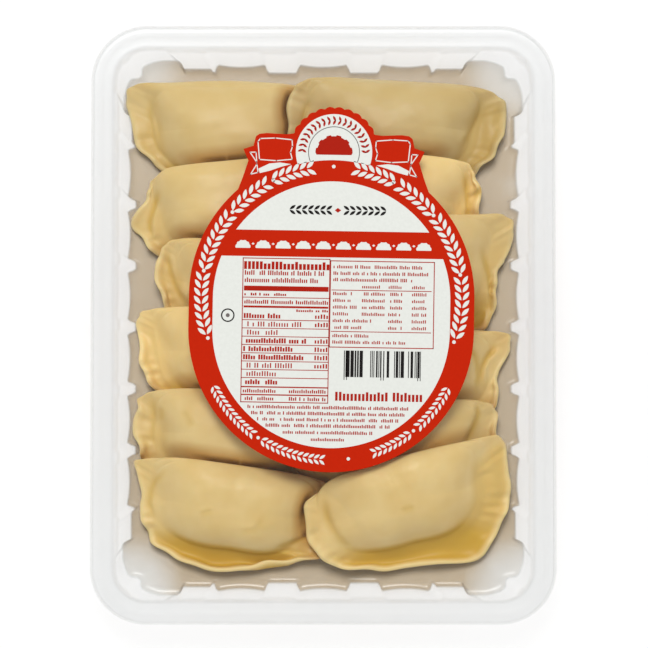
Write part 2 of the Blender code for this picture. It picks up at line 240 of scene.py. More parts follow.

# %% [markdown]
# ## Where the edge differs
# Pinching leaves each edge its own way: an ear pulled out at a corner of the fold, a notch, or
# a stretch that is rolled over into a lip. These are listed one row for each, at a place on the
# edge. Everything else about the edges comes from the rules above.

# %% Ears, notches and lips
# Dumpling, place on its edge in mm, half the stretch in mm, push outwards in mm, extra roll in degrees.
EDGE_CHANGES = [
    (1, -78, 88, 12, 0.6, -25), (1, -76, 98, 9, 4.2, -25), (1, -45, 98, 30, 1.6, 0), (1, -72, 64, 9, -4.5, 20),
    (2, 74, 93, 8, 0.8, -30), (2, 72, 76, 6, 1.0, 45), (2, 66, 68, 5, -1.0, 30), (2, -14, 90, 5, 1.5, -20),
    (3, -76, 42, 4, 2.2, -40), (3, -75, 55, 6, -4.6, 20), (3, -73, 62, 6, -2.6, 10),
    (4, 64, 62, 6, -1.0, 90), (4, 62, 48, 6, -1.0, 40),
    (5, -69, 28, 7, 0.5, 30), (5, -63, 12, 7, -1.0, 55),
    (6, 76, 47, 8, 3.6, -30), (6, 78, 32, 6, 1.0, -20), (6, 75, 20, 9, -5.2, 10), (6, 66, -7, 8, 6.0, 0),
    (7, -77, 6, 7, 1.8, -30), (7, -76, -9, 6, 0.0, 25), (7, -71, -24, 6, 0.0, 30),
    (8, 76, -5, 6, 2.6, -20), (8, 73, -22, 9, -4.6, 20), (8, 66, -32, 7, -1.0, 30),
    (9, -76, -28, 6, 0.4, 0), (9, -78, -42, 6, 0.8, -20), (9, -73, -50, 4, -0.6, 40),
    (10, 73, -33, 5, 1.0, -20), (10, 72, -45, 6, 0.0, 45),
    (11, -77, -57, 5, 3.0, -35), (11, -77, -70, 6, -2.4, 0), (11, -76, -82, 9, -1.6, -38),
    (11, -48, -102, 14, 3.0, 18), (11, -19, -99, 12, 0.6, 90), (11, -3, -92, 4, 0.8, -20),
    (12, -9, -80, 7, -0.8, -45), (12, -2, -94, 5, 0.3, -15), (12, 74, -44, 8, 4.2, -30),
    (12, 77, -62, 9, 0.6, -28), (12, 61, -92, 13, 5.5, -28),
    (12, 4, -63, 12, -4.5, 0), (12, -6, -68, 7, -4.5, 0),
]


def soften_ring(values, spread):
    """Values round an edge, each blended with its neighbours over a number of points."""
    reach = 3 * spread
    offsets = np.arange(-reach, reach + 1)
    weights = np.exp(-(offsets / spread) ** 2 / 2)
    weights /= weights.sum()
    return sum(weight * np.roll(values, offset) for weight, offset in zip(weights, offsets))


def edge_changes(number, angle):
    """Extra width and extra roll round a dumpling's edge."""
    x, y, _, width, turn = DUMPLINGS[number][:5]
    along, across = half_moon(number, angle, 1.0)
    run = np.concatenate([[0.0], np.cumsum(np.hypot(np.diff(along), np.diff(across)))])
    around = run[-1] + run[1]
    cosine = math.cos(math.radians(turn))
    sine = math.sin(math.radians(turn))
    push = np.zeros(SIDES)
    roll = np.zeros(SIDES)
    for owner, at_x, at_y, spread, extra_width, extra_roll in EDGE_CHANGES:
        if owner != number + 1:
            continue
        away_x = (at_x - x) * MM
        away_y = (at_y - y) * MM
        local_x = away_x * cosine + away_y * sine
        local_y = away_y * cosine - away_x * sine - width * MM * (0.5 - FOLD_PART)
        nearest = np.argmin(np.hypot(along - local_x, across - local_y))
        distance = np.abs((run - run[nearest] + around / 2) % around - around / 2)
        strength = np.exp(-(distance / (spread * MM)) ** 2)
        push += extra_width * MM * strength
        roll += extra_roll * strength
    return push, roll


print(len(EDGE_CHANGES), "changes to the edges")

# %% [markdown]
# ## The crimp
# The crimp is two layers of dough pinched to a strip about 8 mm wide. It lies a little hollow
# beside the belly, and its outer edge turns up. In places it is rolled right over into a lip.
# So its middle surface is drawn as a curve that starts level and bends upwards, and the
# thickness goes to either side of that curve, which keeps a rolled lip as thick as the rest.

# %% Curl of the crimp
CRIMP_HALF = 1.15 * MM
CURL_FRONT = 55.0
CURL_END = 22.0
DIP_FRONT = -24.0
DIP_END = -4.0
RIM_RINGS = 18
PALE_BAND = 8.0 * MM


def crimp_curve(number, angle, width, extra_roll):
    """Across the crimp: how far out and how high its middle runs, and which way it faces."""
    front = ease(0.2, 0.8, -np.sin(angle))
    dip = DIP_END + (DIP_FRONT - DIP_END) * front
    roll = CURL_END + (CURL_FRONT - CURL_END) * front
    roll = roll + 10.0 * ring_wave(number, 3, angle, (4, 7, 11)) + extra_roll
    across = np.linspace(0.0, 1.0, RIM_RINGS)
    bend = ease(0.25, 0.85, across)[:, None]
    heading = np.radians(dip[None, :] + (roll - dip)[None, :] * bend)
    step = width[None, :] * 1.10 / (RIM_RINGS - 1)
    middle_heading = (heading[1:] + heading[:-1]) / 2
    start = np.zeros((1, SIDES))
    out = np.concatenate([start, np.cumsum(np.cos(middle_heading) * step, axis=0)])
    up = np.concatenate([start, np.cumsum(np.sin(middle_heading) * step, axis=0)])
    return across, out, up, heading


angle = even_angles(10)
up = crimp_curve(10, angle, np.full(SIDES, 9 * MM), edge_changes(10, angle)[1])[2]
print(f"the crimp turns up by {up[-1].min() / MM:.1f} to {up[-1].max() / MM:.1f} mm")

# %% [markdown]
# ## Belly and underside
# The belly rises steeply from the crimp along the front, more gently at the ends, and is nearly
# flat on top. Along the fold it rounds over to an edge at under half its height. The underside
# is drawn up towards the same edge, so the two skins close without a seam. Every value round
# the edge is blended with its neighbours, because a sudden change there would run across the
# belly as a ridge.

# %% One dumpling lying flat
BELLY_RISE = 22.0 * MM
RIM_LIFT = 3.4 * MM
FOLD_BORDER = 1.8 * MM
FOLD_EDGE = 0.42
FOLD_STEEP = 0.5
FRONT_STEEP = 0.62
END_STEEP = 1.55
FRONT_FULL = 2.6
END_FULL = 4.0
FLAP_FOLD = 0.45 * MM
BELLY_RINGS = 34
GIVE = 0.45


def edge_facts(number, angle):
    """Round the edge: the crimp's strength and width, and how steeply the belly meets it."""
    left, front, right = DUMPLINGS[number][5:8]
    sine = np.sin(angle)
    cosine = np.cos(angle)
    crimp = soften_ring(1.0 - ease(0.40, 0.85, sine), 5)
    end = np.where(cosine < 0, left, right)
    width = (front + (end - front) * ease(0.5, 0.95, np.abs(cosine))) * MM
    width = soften_ring(FOLD_BORDER + (width - FOLD_BORDER) * crimp, 6)
    at_end = ease(0.55, 0.95, np.abs(cosine)) * (1.0 - ease(0.3, 0.9, sine))
    steep = FOLD_STEEP + (FRONT_STEEP - FOLD_STEEP) * (1.0 - ease(-0.4, 1.0, sine))
    steep = soften_ring(steep + (END_STEEP - FRONT_STEEP) * at_end, 8)
    full = FRONT_FULL + (END_FULL - FRONT_FULL) * soften_ring(at_end, 8)
    return crimp, width, steep, full


def flat_dumpling(number):
    """Rings of points on top and underneath, with the crimp and edge values at each point."""
    angle = even_angles(number)
    crimp, width, steep, full = edge_facts(number, angle)
    push, extra_roll = edge_changes(number, angle)
    edge = np.hypot(*half_moon(number, angle, np.ones(SIDES)))
    inner = 1.0 - width / edge
    belly_edge = 1.0 - crimp * width / edge
    belly = BELLY_RISE * DUMPLINGS[number][8]
    rest = FOLD_EDGE * belly + (RIM_LIFT - FOLD_EDGE * belly) * crimp
    skin = CRIMP_HALF * crimp
    # The crimp's colour value: the thin dough's deeper yellow, and painted shade in the hollow along the front and at
    # the belly's foot.
    deep = np.maximum(ease(0.35, 0.85, -np.sin(angle)), 0.45 * ease(7.5, 10.0, width / MM))
    gold_and_shade = crimp * deep

    def belly_heights(share):
        dome = np.maximum(1.0 - (share / belly_edge) ** full, 0.0) ** steep
        top = rest + skin + (belly - rest - skin) * dome
        return top, (rest - skin) * (1.0 - dome) ** 0.7

    tops = []
    bottoms = []
    for step in np.linspace(0.04, 1.0, BELLY_RINGS) ** 0.8:
        along, across = half_moon(number, angle, step * inner)
        top, bottom = belly_heights(step * inner)
        foot_shade = ease(0.86, 0.99, step) * gold_and_shade
        tops.append((along, across, top, crimp * ease(0.88, 1.0, step), 0.0 * angle, foot_shade))
        bottoms.append((along, across, bottom, 0.0 * angle, 0.0 * angle, 0.0 * angle))
    foot = np.stack(half_moon(number, angle, inner))
    rim = np.stack(half_moon(number, angle, np.ones(SIDES)))
    outward = (rim - foot) / width
    wide = width + 0.8 * MM * ring_wave(number, 1, angle, (6, 10, 17)) * crimp + push
    across_share, out, up, heading = crimp_curve(number, angle, wide, extra_roll)
    wave = 0.9 * MM * ring_wave(number, 2, angle, (5, 9, 14))
    pleat = 0.35 * MM * ring_wave(number, 4, angle, (23, 31, 40)) * ease(0.4, 0.9, np.abs(np.cos(angle)))
    fold = FLAP_FOLD * ease(8.5, 11.5, width / MM) * ease(0.2, 0.6, np.cos(angle))
    for ring in range(1, RIM_RINGS):
        share = across_share[ring]
        reach = wide * share + (out[ring] - wide * share) * crimp
        plain = belly_heights(inner + share * (1.0 - inner))
        to_edge = np.maximum(1.0 - (1.0 - share) * wide / PALE_BAND, 0.0)
        half = CRIMP_HALF * math.sqrt(max(1.0 - max(share - 0.78, 0.0) ** 2 / 0.22 ** 2, 0.0))
        rise = rest + up[ring] + wave * ease(0.1, 1.0, share) + pleat * ease(0.0, 0.5, share)
        rise = rise - fold * math.sin(3 * math.pi * share) * float(ease(0.0, 0.2, np.array(share)))
        for rings, side, level in ((tops, 1.0, plain[0]), (bottoms, -1.0, plain[1])):
            height = level + (rise + side * half * np.cos(heading[ring]) - level) * crimp
            shift = reach - side * half * np.sin(heading[ring]) * crimp
            x, y = foot + outward * shift
            # The edge value puts a painted highlight on the turned-up outer edge; the crimp's yellow and painted shade
            # fade out towards it.
            rings.append((x, y, height, crimp, crimp * to_edge, gold_and_shade * (1.0 - ease(0.6, 0.95, to_edge))))
    return angle, tops, bottoms, belly


angle, tops, bottoms, belly = flat_dumpling(10)
print(f"belly {belly / MM:.1f} mm high, {len(tops)} rings on top")

# %% [markdown]
# ## From rings to a closed mesh
# The rings of one dumpling are joined into quads, top and underneath, with a fan of triangles
# at the crown and at the heel. Soft lumps are added to the top, and fade out towards the rim.

# %% Points and faces of one dumpling
def dumpling_mesh(number):
    """Points, faces and give of one dumpling lying flat at height 0, with its edge highlight and its crimp colour with
    painted shade.
    """
    x, y, _, width, turn = DUMPLINGS[number][:5]
    angle, tops, bottoms, belly = flat_dumpling(number)
    lower = [bottoms[i] for i in range(len(bottoms) - 2, 0, -2)]
    rings = np.array(tops + lower)
    top_count = len(tops)
    spine = width * MM * (0.5 - FOLD_PART)
    points = np.stack([rings[:, 0], rings[:, 1] + spine, rings[:, 2]], axis=2)
    soft = 1.0 - rings[:top_count, 3]
    relief = 0.55 * lumps(number, 7, rings[:top_count, 0], rings[:top_count, 1], 24 * MM)
    relief += 0.07 * lumps(number, 8, rings[:top_count, 0], rings[:top_count, 1], 7 * MM)
    points[:top_count, :, 2] += relief * MM * soft
    thick = np.zeros((len(rings), SIDES))
    thick[:top_count] = rings[:top_count, 2] - np.array(bottoms)[:, 2]
    give = GIVE * np.maximum(thick - 2.4 * MM, 0.0).reshape(-1)
    flat = points.reshape(-1, 3)
    crown = flat[:SIDES].mean(axis=0)
    heel = flat[-SIDES:].mean(axis=0)
    flat = np.concatenate([flat, [crown, heel]])
    give = np.concatenate([give, [give[:SIDES].mean(), 0.0]])
    cosine = math.cos(math.radians(turn))
    sine = math.sin(math.radians(turn))
    placed = flat.copy()
    placed[:, 0] = x * MM + flat[:, 0] * cosine - flat[:, 1] * sine
    placed[:, 1] = y * MM + flat[:, 0] * sine + flat[:, 1] * cosine
    edge = np.concatenate([rings[:, 4].reshape(-1), [0.0, 0.0]])
    gold_and_shade = np.concatenate([rings[:, 5].reshape(-1), [0.0, 0.0]])
    return placed, ring_faces(len(rings)), give, edge, gold_and_shade, top_count


def ring_faces(count):
    """Quads between neighbouring rings, and a fan at each end."""
    side = np.arange(SIDES)
    after = (side + 1) % SIDES
    faces = []
    for ring in range(count - 1):
        near = ring * SIDES
        far = near + SIDES
        faces += np.stack([near + side, far + side, far + after, near + after], axis=1).tolist()
    crown = count * SIDES
    faces += np.stack([np.full(SIDES, crown), side, after], axis=1).tolist()
    last = (count - 1) * SIDES
    faces += np.stack([np.full(SIDES, crown + 1), last + after, last + side], axis=1).tolist()
    return faces


points, faces = dumpling_mesh(0)[:2]
print(len(points), "points and", len(faces), "faces in a dumpling")

# %% [markdown]
# ## Folds in the dough
# Where fingers pinched an end, the dough is lapped over itself. From above each lap is a line
# with one side standing higher, which sinks back a few millimetres away. The lines are listed one
# by one and the rule for the step is the same for all. Real overlaps would need a mesh that
# crosses itself, and they would look no different at this size.

# %% Lapped folds
# Dumpling, height of the step in mm, how far its high side reaches in mm, and the line's places
# in mm. The high side is on the left of the line's direction.
FOLDS = [
    (1, 0.8, 5.0, ((-70.5, 98.0), (-71.5, 86.0), (-69.0, 75.0), (-61.0, 67.0))),
    (2, 1.0, 4.0, ((-4.0, 95.0), (-7.0, 88.0), (-9.0, 80.0), (-8.5, 73.0))),
    (2, 0.9, 5.0, ((54.0, 70.0), (59.5, 79.0), (63.5, 88.0), (65.0, 97.0))),
    (3, 1.3, 4.0, ((-66.0, 58.0), (-69.0, 51.0), (-71.5, 43.0), (-70.0, 34.0))),
    (4, 1.2, 4.0, ((57.0, 38.0), (59.5, 48.0), (58.5, 57.0), (57.0, 66.0))),
    (4, 1.7, 3.0, ((59.5, 53.0), (64.5, 56.5), (66.0, 62.5), (61.5, 67.5))),
    (5, 1.1, 5.0, ((-64.5, 33.0), (-63.0, 24.0), (-60.0, 15.0), (-54.0, 7.0))),
    (6, 1.1, 5.0, ((66.0, -6.0), (68.3, 5.0), (69.0, 16.0), (66.5, 26.0), (63.0, 36.0))),
    (7, 0.4, 6.0, ((-71.0, 4.0), (-70.0, -8.0), (-67.0, -21.0), (-60.0, -30.0))),
    (8, 2.0, 3.0, ((74.0, -7.5), (69.0, -12.5), (66.0, -18.0), (66.3, -27.0))),
    (8, 1.6, 5.0, ((61.5, -30.0), (63.5, -20.0), (62.0, -13.0), (56.0, -7.0))),
    (9, 0.7, 4.0, ((-70.5, -27.0), (-69.0, -36.0), (-70.5, -44.0), (-68.5, -53.0))),
    (9, 0.7, 1.6, ((-67.5, -32.5), (-65.8, -36.0), (-66.2, -40.0))),
    (9, 0.5, 1.6, ((-57.0, -34.0), (-55.0, -38.0), (-52.5, -42.5))),
    (10, 1.8, 5.0, ((56.0, -52.0), (60.0, -44.0), (63.0, -37.0), (62.0, -31.0))),
    (11, 0.8, 6.0, ((-62.0, -58.5), (-69.5, -65.5), (-71.5, -73.0), (-68.5, -81.0))),
    (11, 1.6, 4.0, ((-22.0, -92.3), (-15.0, -89.5), (-8.0, -87.0), (-2.0, -85.5))),
    (11, 1.0, 2.0, ((-4.0, -95.0), (-12.0, -94.3), (-22.0, -92.0))),
    (11, 0.4, 1.5, ((-35.0, -84.6), (-28.5, -83.5), (-24.0, -77.0))),
    (11, 0.4, 1.5, ((-51.5, -77.6), (-48.5, -76.5), (-45.0, -75.4))),
    (12, 0.5, 1.5, ((31.0, -75.6), (34.0, -74.8), (37.5, -73.8))),
    (12, 0.8, 5.0, ((0.5, -69.0), (2.5, -79.0), (7.5, -87.5), (15.0, -93.0))),
    (12, 0.7, 2.5, ((63.0, -63.0), (66.5, -60.5), (71.5, -60.0))),
]
FOLD_SHARP = 0.5 * MM
FOLD_POINTS = 60
FOLD_FULL = 1.2
# Painted shade in each fold's crease.
CREASE_SHADE = 0.7
# Painted highlight on each lap's high edge.
LAP_HIGHLIGHT = 0.8


def smooth_line(places, count):
    """A rounded line through a few places, at evenly spaced shares of its way."""
    places = np.array(places, float)
    share = np.linspace(0, len(places) - 1, count)
    line = np.array([np.interp(share, range(len(places)), column) for column in places.T]).T
    for _ in range(count // 2):
        line[1:-1] = (line[:-2] + 2 * line[1:-1] + line[2:]) / 4
    return line


def fold_steps(number, x, y):
    """The height the folds add at each point, how much each lies in a crease, and on a lap's edge."""
    height = np.zeros_like(x)
    crease = np.zeros_like(x)
    lap = np.zeros_like(x)
    for owner, step, reach, places in FOLDS:
        if owner != number + 1:
            continue
        line = smooth_line(places, FOLD_POINTS) * MM
        way = np.gradient(line, axis=0)
        way /= np.linalg.norm(way, axis=1)[:, None]
        away_x = x[:, None] - line[None, :, 0]
        away_y = y[:, None] - line[None, :, 1]
        nearest = np.argmin(np.hypot(away_x, away_y), axis=1)
        pick = (np.arange(len(x)), nearest)
        aside = way[nearest, 0] * away_y[pick] - way[nearest, 1] * away_x[pick]
        share = nearest / (FOLD_POINTS - 1)
        strength = ease(0.0, 0.3, share) * (1.0 - ease(0.7, 1.0, share))
        fall = np.exp(-(np.maximum(aside, 0.0) / (reach * MM)) ** 2)
        height += step * MM * strength * fall * (1.0 + np.tanh(aside / FOLD_SHARP)) / 2
        height -= 0.3 * step * MM * strength * np.exp(-((aside + 0.8 * MM) / (1.2 * MM)) ** 2)
        strength = strength * min(step / FOLD_FULL, 1.0)
        crease = np.maximum(crease, strength * np.exp(-((aside + 0.9 * MM) / (1.5 * MM)) ** 2))
        lap = np.maximum(lap, strength * np.exp(-((aside - 0.7 * MM) / (0.9 * MM)) ** 2))
    return height, crease, lap


print(len(FOLDS), "folds")

# %% [markdown]
# ## Laying them in the tray
# Each dumpling is laid over the ones before it, and bends softly over what it touches. A
# physics run could do this, but the result would differ from the measured model. Instead, rays
# are cast down from the underside onto the pile, and wherever there is too little room a soft
# bump of lift is added. The filling is soft, so its top rises less than its underside.

# %% Settle the dumplings one on another
GAP = 0.25 * MM
SAG_RADIUS = 14.0 * MM
TILT_SHARE = 0.35
BLEND_SHARE = 0.6
SETTLE_ROUNDS = 24
FLOOR_LEVEL = tray_low.z + 0.9 * MM


def pile_tree(pile):
    """One search tree over every dumpling laid so far."""
    points = []
    faces = []
    for placed, own_faces in pile:
        shift = sum(len(part) for part in points)
        points.append(placed)
        faces += [[index + shift for index in face] for face in own_faces]
    if not points:
        return None
    return BVHTree.FromPolygons(np.concatenate(points).tolist(), faces)


def settle(flat, give, under, tree):
    """Heights after the dumpling has bent over the floor and the pile."""
    lift = np.zeros(len(flat))
    height = flat[:, 2] + FLOOR_LEVEL
    ground = np.full(len(under), FLOOR_LEVEL)
    if tree:
        for index, point in enumerate(under):
            hit = tree.ray_cast(Vector((flat[point, 0], flat[point, 1], 1.0)), Vector((0, 0, -1)))[0]
            if hit:
                ground[index] = hit.z + GAP
    near_x = flat[:, None, 0] - flat[None, under, 0]
    near_y = flat[:, None, 1] - flat[None, under, 1]
    near = np.exp(-(near_x ** 2 + near_y ** 2) / (2 * SAG_RADIUS ** 2)).astype(np.float32)
    for _ in range(SETTLE_ROUNDS):
        need = np.maximum(ground - height[under], 0.0)
        if need.max() < 0.02 * MM:
            break
        lift += (near * need[None, :].astype(np.float32)).max(axis=1)
        squeezed = lift - give
        tilted = TILT_SHARE * lift
        blend = np.sqrt((squeezed - tilted) ** 2 + (BLEND_SHARE * give) ** 2)
        height = flat[:, 2] + FLOOR_LEVEL + (squeezed + tilted + blend) / 2
    return height


TOP_POINTS = (BELLY_RINGS + RIM_RINGS - 1) * SIDES
pile = []
laid = []
for number in range(len(DUMPLINGS)):
    points, faces, give, edge, gold_and_shade, top_count = dumpling_mesh(number)
    rows = np.arange(top_count - 1, len(points) // SIDES)
    under = (rows[:, None] * SIDES + np.arange(0, SIDES, 5)[None, :]).reshape(-1)
    points[:, 2] = settle(points, give, under, pile_tree(pile))
    height, crease, lap = fold_steps(number, points[:top_count * SIDES, 0], points[:top_count * SIDES, 1])
    points[:top_count * SIDES, 2] += height
    # Creases get painted shade.
    gold_and_shade[:top_count * SIDES] = np.maximum(gold_and_shade[:top_count * SIDES], CREASE_SHADE * crease)
    # The high edge of each lap gets a painted highlight.
    edge[:top_count * SIDES] = np.maximum(edge[:top_count * SIDES], LAP_HIGHLIGHT * lap)
    pile.append((points, faces))
    laid.append((points, faces, edge, gold_and_shade, np.arange(TOP_POINTS)))
print(f"pile {max(part[0][:, 2].max() for part in laid) / MM:.1f} mm high")

# %% [markdown]
# ## Where they press together
# Where one dumpling lies on another little light gets in, so the dough there is darkened with
# painted shade. How near the next dumpling lies is measured at every point with a search tree,
# and the material uses it later. It could be left to the lighting, but the line between two
# dumplings is far darker than the lighting's own shade.

# %% Nearness to the dumplings laid on top
SEAM_REACH = 9.0 * MM
TUCK_REACH = 1.2 * MM
NEIGHBOUR = 75.0


def nearness(number, others, reach):
    """1 where a dumpling touches one of the others, down to 0 at the given reach."""
    own, shown = laid[number][0], laid[number][4]
    near = np.zeros(len(own))
    x, y = DUMPLINGS[number][:2]
    close = [i for i in others if math.hypot(DUMPLINGS[i][0] - x, DUMPLINGS[i][1] - y) < NEIGHBOUR]
    if not close:
        return near
    spots = np.concatenate([laid[other][0][laid[other][4]] for other in close])
    tree = KDTree(len(spots))
    for index, spot in enumerate(spots):
        tree.insert(spot, index)
    tree.balance()
    distance = np.array([tree.find(point)[2] for point in own[shown]])
    near[shown] = 1.0 - np.clip(distance / reach, 0.0, 1.0)
    return near


# How much painted shade each point gets: near the dumplings laid on top of it, and a little where it lies on earlier
# ones.
seam_shading = []
for number in range(len(laid)):
    above = nearness(number, range(number + 1, len(laid)), SEAM_REACH)
    below = nearness(number, range(number), TUCK_REACH)
    seam_shading.append(np.maximum(above, 0.6 * below))
print(f"dough next to a neighbour: {np.concatenate(seam_shading).mean():.0%} on average")

# %% [markdown]
# ## Dough
# Boiled dough is pale, smooth and a little see-through, so light travels inside it before it
# comes out. Where it is thin, along the crimp, it is a deeper yellow, and that colour is darkened
# into painted shade in the crimp's hollow beside the belly and in the creases of folds. The
# outer edge of the crimp and the high side of each lap get a painted highlight. The colours
# follow four values stored on the mesh: how near the outer edge is, how yellow and shaded the
# crimp is there, how close the next dumpling lies, which gives painted shade, and how light this
# dumpling's dough is. A slow noise gives it cloudy patches. Its surface is very slightly grainy,
# and so is printed card, so the grain is a node group that both materials use.

# %% Dough material
def new_material(name, roughness):
    """A node material, with its Principled BSDF."""
    made = bpy.data.materials.new(name)
    made.use_nodes = True
    shader = made.node_tree.nodes["Principled BSDF"]
    shader.inputs["Roughness"].default_value = roughness
    return made, made.node_tree, shader


def tone(red, green, blue):
    """A colour given as on a screen, 0 to 255, made linear."""
    linear = [((value / 255 + 0.055) / 1.055) ** 2.4 for value in (red, green, blue)]
    return (*linear, 1.0)


def mix_colours(tree, factor, first, second):
    """A colour between two, by a factor."""
    node = tree.nodes.new("ShaderNodeMix")
    node.data_type = "RGBA"
    wire(tree, node.inputs["Factor"], factor)
    wire(tree, node.inputs[6], first)
    wire(tree, node.inputs[7], second)
    return node.outputs[2]


def remap(tree, value, low, high, start, end):
    """A value moved from one range to another, and held inside it."""
    return put(tree, "ShaderNodeMapRange", value, low, high, start, end)


def build_fine_grain():
    """The shared group: a fine speckle, put out as a mask and as a bumped normal."""
    group = bpy.data.node_groups.new("fine_grain", "ShaderNodeTree")
    sockets = group.interface
    sockets.new_socket("Place", in_out="INPUT", socket_type="NodeSocketVector")
    for name in ("Scale", "Strength", "Depth"):
        sockets.new_socket(name, in_out="INPUT", socket_type="NodeSocketFloat")
    sockets.new_socket("Speckle", in_out="OUTPUT", socket_type="NodeSocketFloat")
    sockets.new_socket("Normal", in_out="OUTPUT", socket_type="NodeSocketVector")
    given = put(group, "NodeGroupInput").outputs
    speckle = put(group, "ShaderNodeTexNoise", given["Place"])
    speckle.inputs["Detail"].default_value = 3.0
    wire(group, speckle.inputs["Scale"], given["Scale"])
    bump = put(group, "ShaderNodeBump")
    wire(group, bump.inputs["Strength"], given["Strength"])
    wire(group, bump.inputs["Distance"], given["Depth"])
    wire(group, bump.inputs["Height"], speckle)
    result = put(group, "NodeGroupOutput")
    wire(group, result.inputs["Speckle"], remap(group, speckle, 0.3, 0.7, 0.0, 1.0))
    wire(group, result.inputs["Normal"], bump)
    return group


fine_grain = build_fine_grain()


def add_grain(tree, shader, place, scale, strength, depth):
    """Put the shared grain in a material, and bump its surface by it; gives the speckle mask."""
    grain = put(tree, "ShaderNodeGroup", node_tree=fine_grain)
    for name, value in (("Place", place), ("Scale", scale), ("Strength", strength), ("Depth", depth)):
        wire(tree, grain.inputs[name], value)
    wire(tree, shader.inputs["Normal"], grain.outputs["Normal"])
    return grain.outputs["Speckle"]


dough, tree, shader = new_material("dough", 0.42)
place = put(tree, "ShaderNodeTexCoord").outputs["Object"]
edge_highlight_value = put(tree, "ShaderNodeAttribute", attribute_name="edge").outputs["Fac"]
gold_and_shade_value = put(tree, "ShaderNodeAttribute", attribute_name="gold_and_shade").outputs["Fac"]
seam_shade_value = put(tree, "ShaderNodeAttribute", attribute_name="seam").outputs["Fac"]
shade_value = put(tree, "ShaderNodeAttribute", attribute_name="shade").outputs["Fac"]
cloud = put(tree, "ShaderNodeTexNoise", place)
cloud.inputs["Scale"].default_value = 70.0
cloud.inputs["Detail"].default_value = 3.0
belly_tone = mix_colours(tree, remap(tree, cloud, 0.35, 0.65, 0.0, 1.0), tone(221, 190, 123), tone(227, 199, 136))
# Painted highlight along the crimp's outer edge and the high side of each lap.
pale = mix_colours(tree, remap(tree, edge_highlight_value, 0.62, 0.95, 0.0, 0.7), belly_tone, tone(232, 209, 148))
# The crimp's deeper yellow, darkened into painted shade in its hollow and in creases.
golden_and_shaded = mix_colours(tree, remap(tree, gold_and_shade_value, 0.0, 1.0, 0.0, 0.85), pale, tone(198, 154, 22))
# Painted shade, warm brown, towards the line where the next dumpling lies.
seam_shade = mix_colours(tree, remap(tree, seam_shade_value, 0.2, 0.9, 0.0, 0.9), golden_and_shaded, tone(178, 120, 28))
shades = put(tree, "ShaderNodeVectorMath", seam_shade, operation="SCALE")
wire(tree, shades.inputs["Scale"], shade_value)
# Painted shadow, nearly black-brown, right where two dumplings meet.
seam_shadow = remap(tree, seam_shade_value, 0.70, 0.98, 0.0, 1.0)
wire(tree, shader.inputs["Base Color"], mix_colours(tree, seam_shadow, shades, tone(58, 28, 3)))
shader.inputs["Subsurface Weight"].default_value = 0.15
shader.inputs["Subsurface Radius"].default_value = (1.0, 0.55, 0.22)
shader.inputs["Subsurface Scale"].default_value = 0.002
shader.inputs["Specular IOR Level"].default_value = 0.25
add_grain(tree, shader, place, 420.0, 0.10, 0.0004)
print("dough is ready")

# %% Each dumpling as a piece
def add_mesh(name, points, faces, material):
    """A new object at the origin, with its place in its mesh."""
    mesh = bpy.data.meshes.new(name)
    mesh.from_pydata(points, [], faces)
    mesh.materials.append(material)
    made = bpy.data.objects.new(name, mesh)
    scene.collection.objects.link(made)
    return made


# How pale each dumpling's dough is, against the usual one.
SHADES = [0.88, 0.78, 0.96, 1.11, 0.98, 0.92, 1.09, 0.97, 0.95, 0.91, 0.97, 0.99]
for number, (points, faces, edge, gold_and_shade, _) in enumerate(laid):
    piece = add_mesh(f"dumpling_{number + 1:02d}", points.tolist(), faces, dough)
    shade = np.full(len(points), SHADES[number])
    for name, values in (("edge", edge), ("gold_and_shade", gold_and_shade), ("seam", seam_shading[number]), ("shade", shade)):
        layer = piece.data.attributes.new(name, "FLOAT", "POINT")
        layer.data.foreach_set("value", values.astype(np.float32))
    piece.data.shade_smooth()
    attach(piece, "root")
    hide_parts(f"pierogi_{number + 1:02d}")
print(len(laid), "dumplings in the tray")

# %% [markdown]
# ## Clear plastic
# Thin formed sheet lets most light straight through, and scatters a little of it, more where it
# is seen edge-on. Real glass refraction would be slow and noisy for a wall this thin, so the
# material mixes plain transparency with a pale gloss, and the mix follows Layer Weight. Inside
# the tray the floor gets painted shade, warm like light thrown back from the dough, which a value
# on the mesh adds, and under the rim a band of the wall is a little milky.

# %% Plastic material
plastic, tree, shader = new_material("clear_plastic", 0.22)
floor_shade = put(tree, "ShaderNodeAttribute", attribute_name="floor_shade").outputs["Fac"]
# Where the floor value is high, painted shade is mixed in, warm like light thrown back from the dough.
wire(tree, shader.inputs["Base Color"], mix_colours(tree, remap(tree, floor_shade, 0.5, 0.95, 0.0, 1.0), tone(206, 209, 209), tone(179, 157, 117)))
shader.inputs["Specular IOR Level"].default_value = 0.5
clear = put(tree, "ShaderNodeBsdfTransparent", tone(254, 254, 254))
facing = put(tree, "ShaderNodeLayerWeight", 0.5).outputs["Facing"]
grazing = put(tree, "ShaderNodeMath", facing, 2.2, operation="POWER")
height = put(tree, "ShaderNodeSeparateXYZ", put(tree, "ShaderNodeTexCoord").outputs["Object"]).outputs["Z"]
milky = remap(tree, height, 19.0 * MM, 22.0 * MM, 0.0, 1.0)
milky = maths(tree, "MULTIPLY", milky, remap(tree, height, 28.0 * MM, 32.0 * MM, 1.0, 0.0))
seen = maths(tree, "ADD", remap(tree, grazing, 0.0, 1.0, 0.012, 0.13), maths(tree, "MULTIPLY", floor_shade, 0.47))
seen = maths(tree, "ADD", seen, maths(tree, "MULTIPLY", milky, 0.09))
shaded = put(tree, "ShaderNodeLightPath").outputs["Is Shadow Ray"]
haze = maths(tree, "MULTIPLY", seen, maths(tree, "SUBTRACT", 1.0, maths(tree, "MULTIPLY", shaded, 0.85)))
blend = put(tree, "ShaderNodeMixShader", haze, clear, shader)
wire(tree, tree.nodes["Material Output"].inputs["Surface"], blend)
print("plastic is ready")

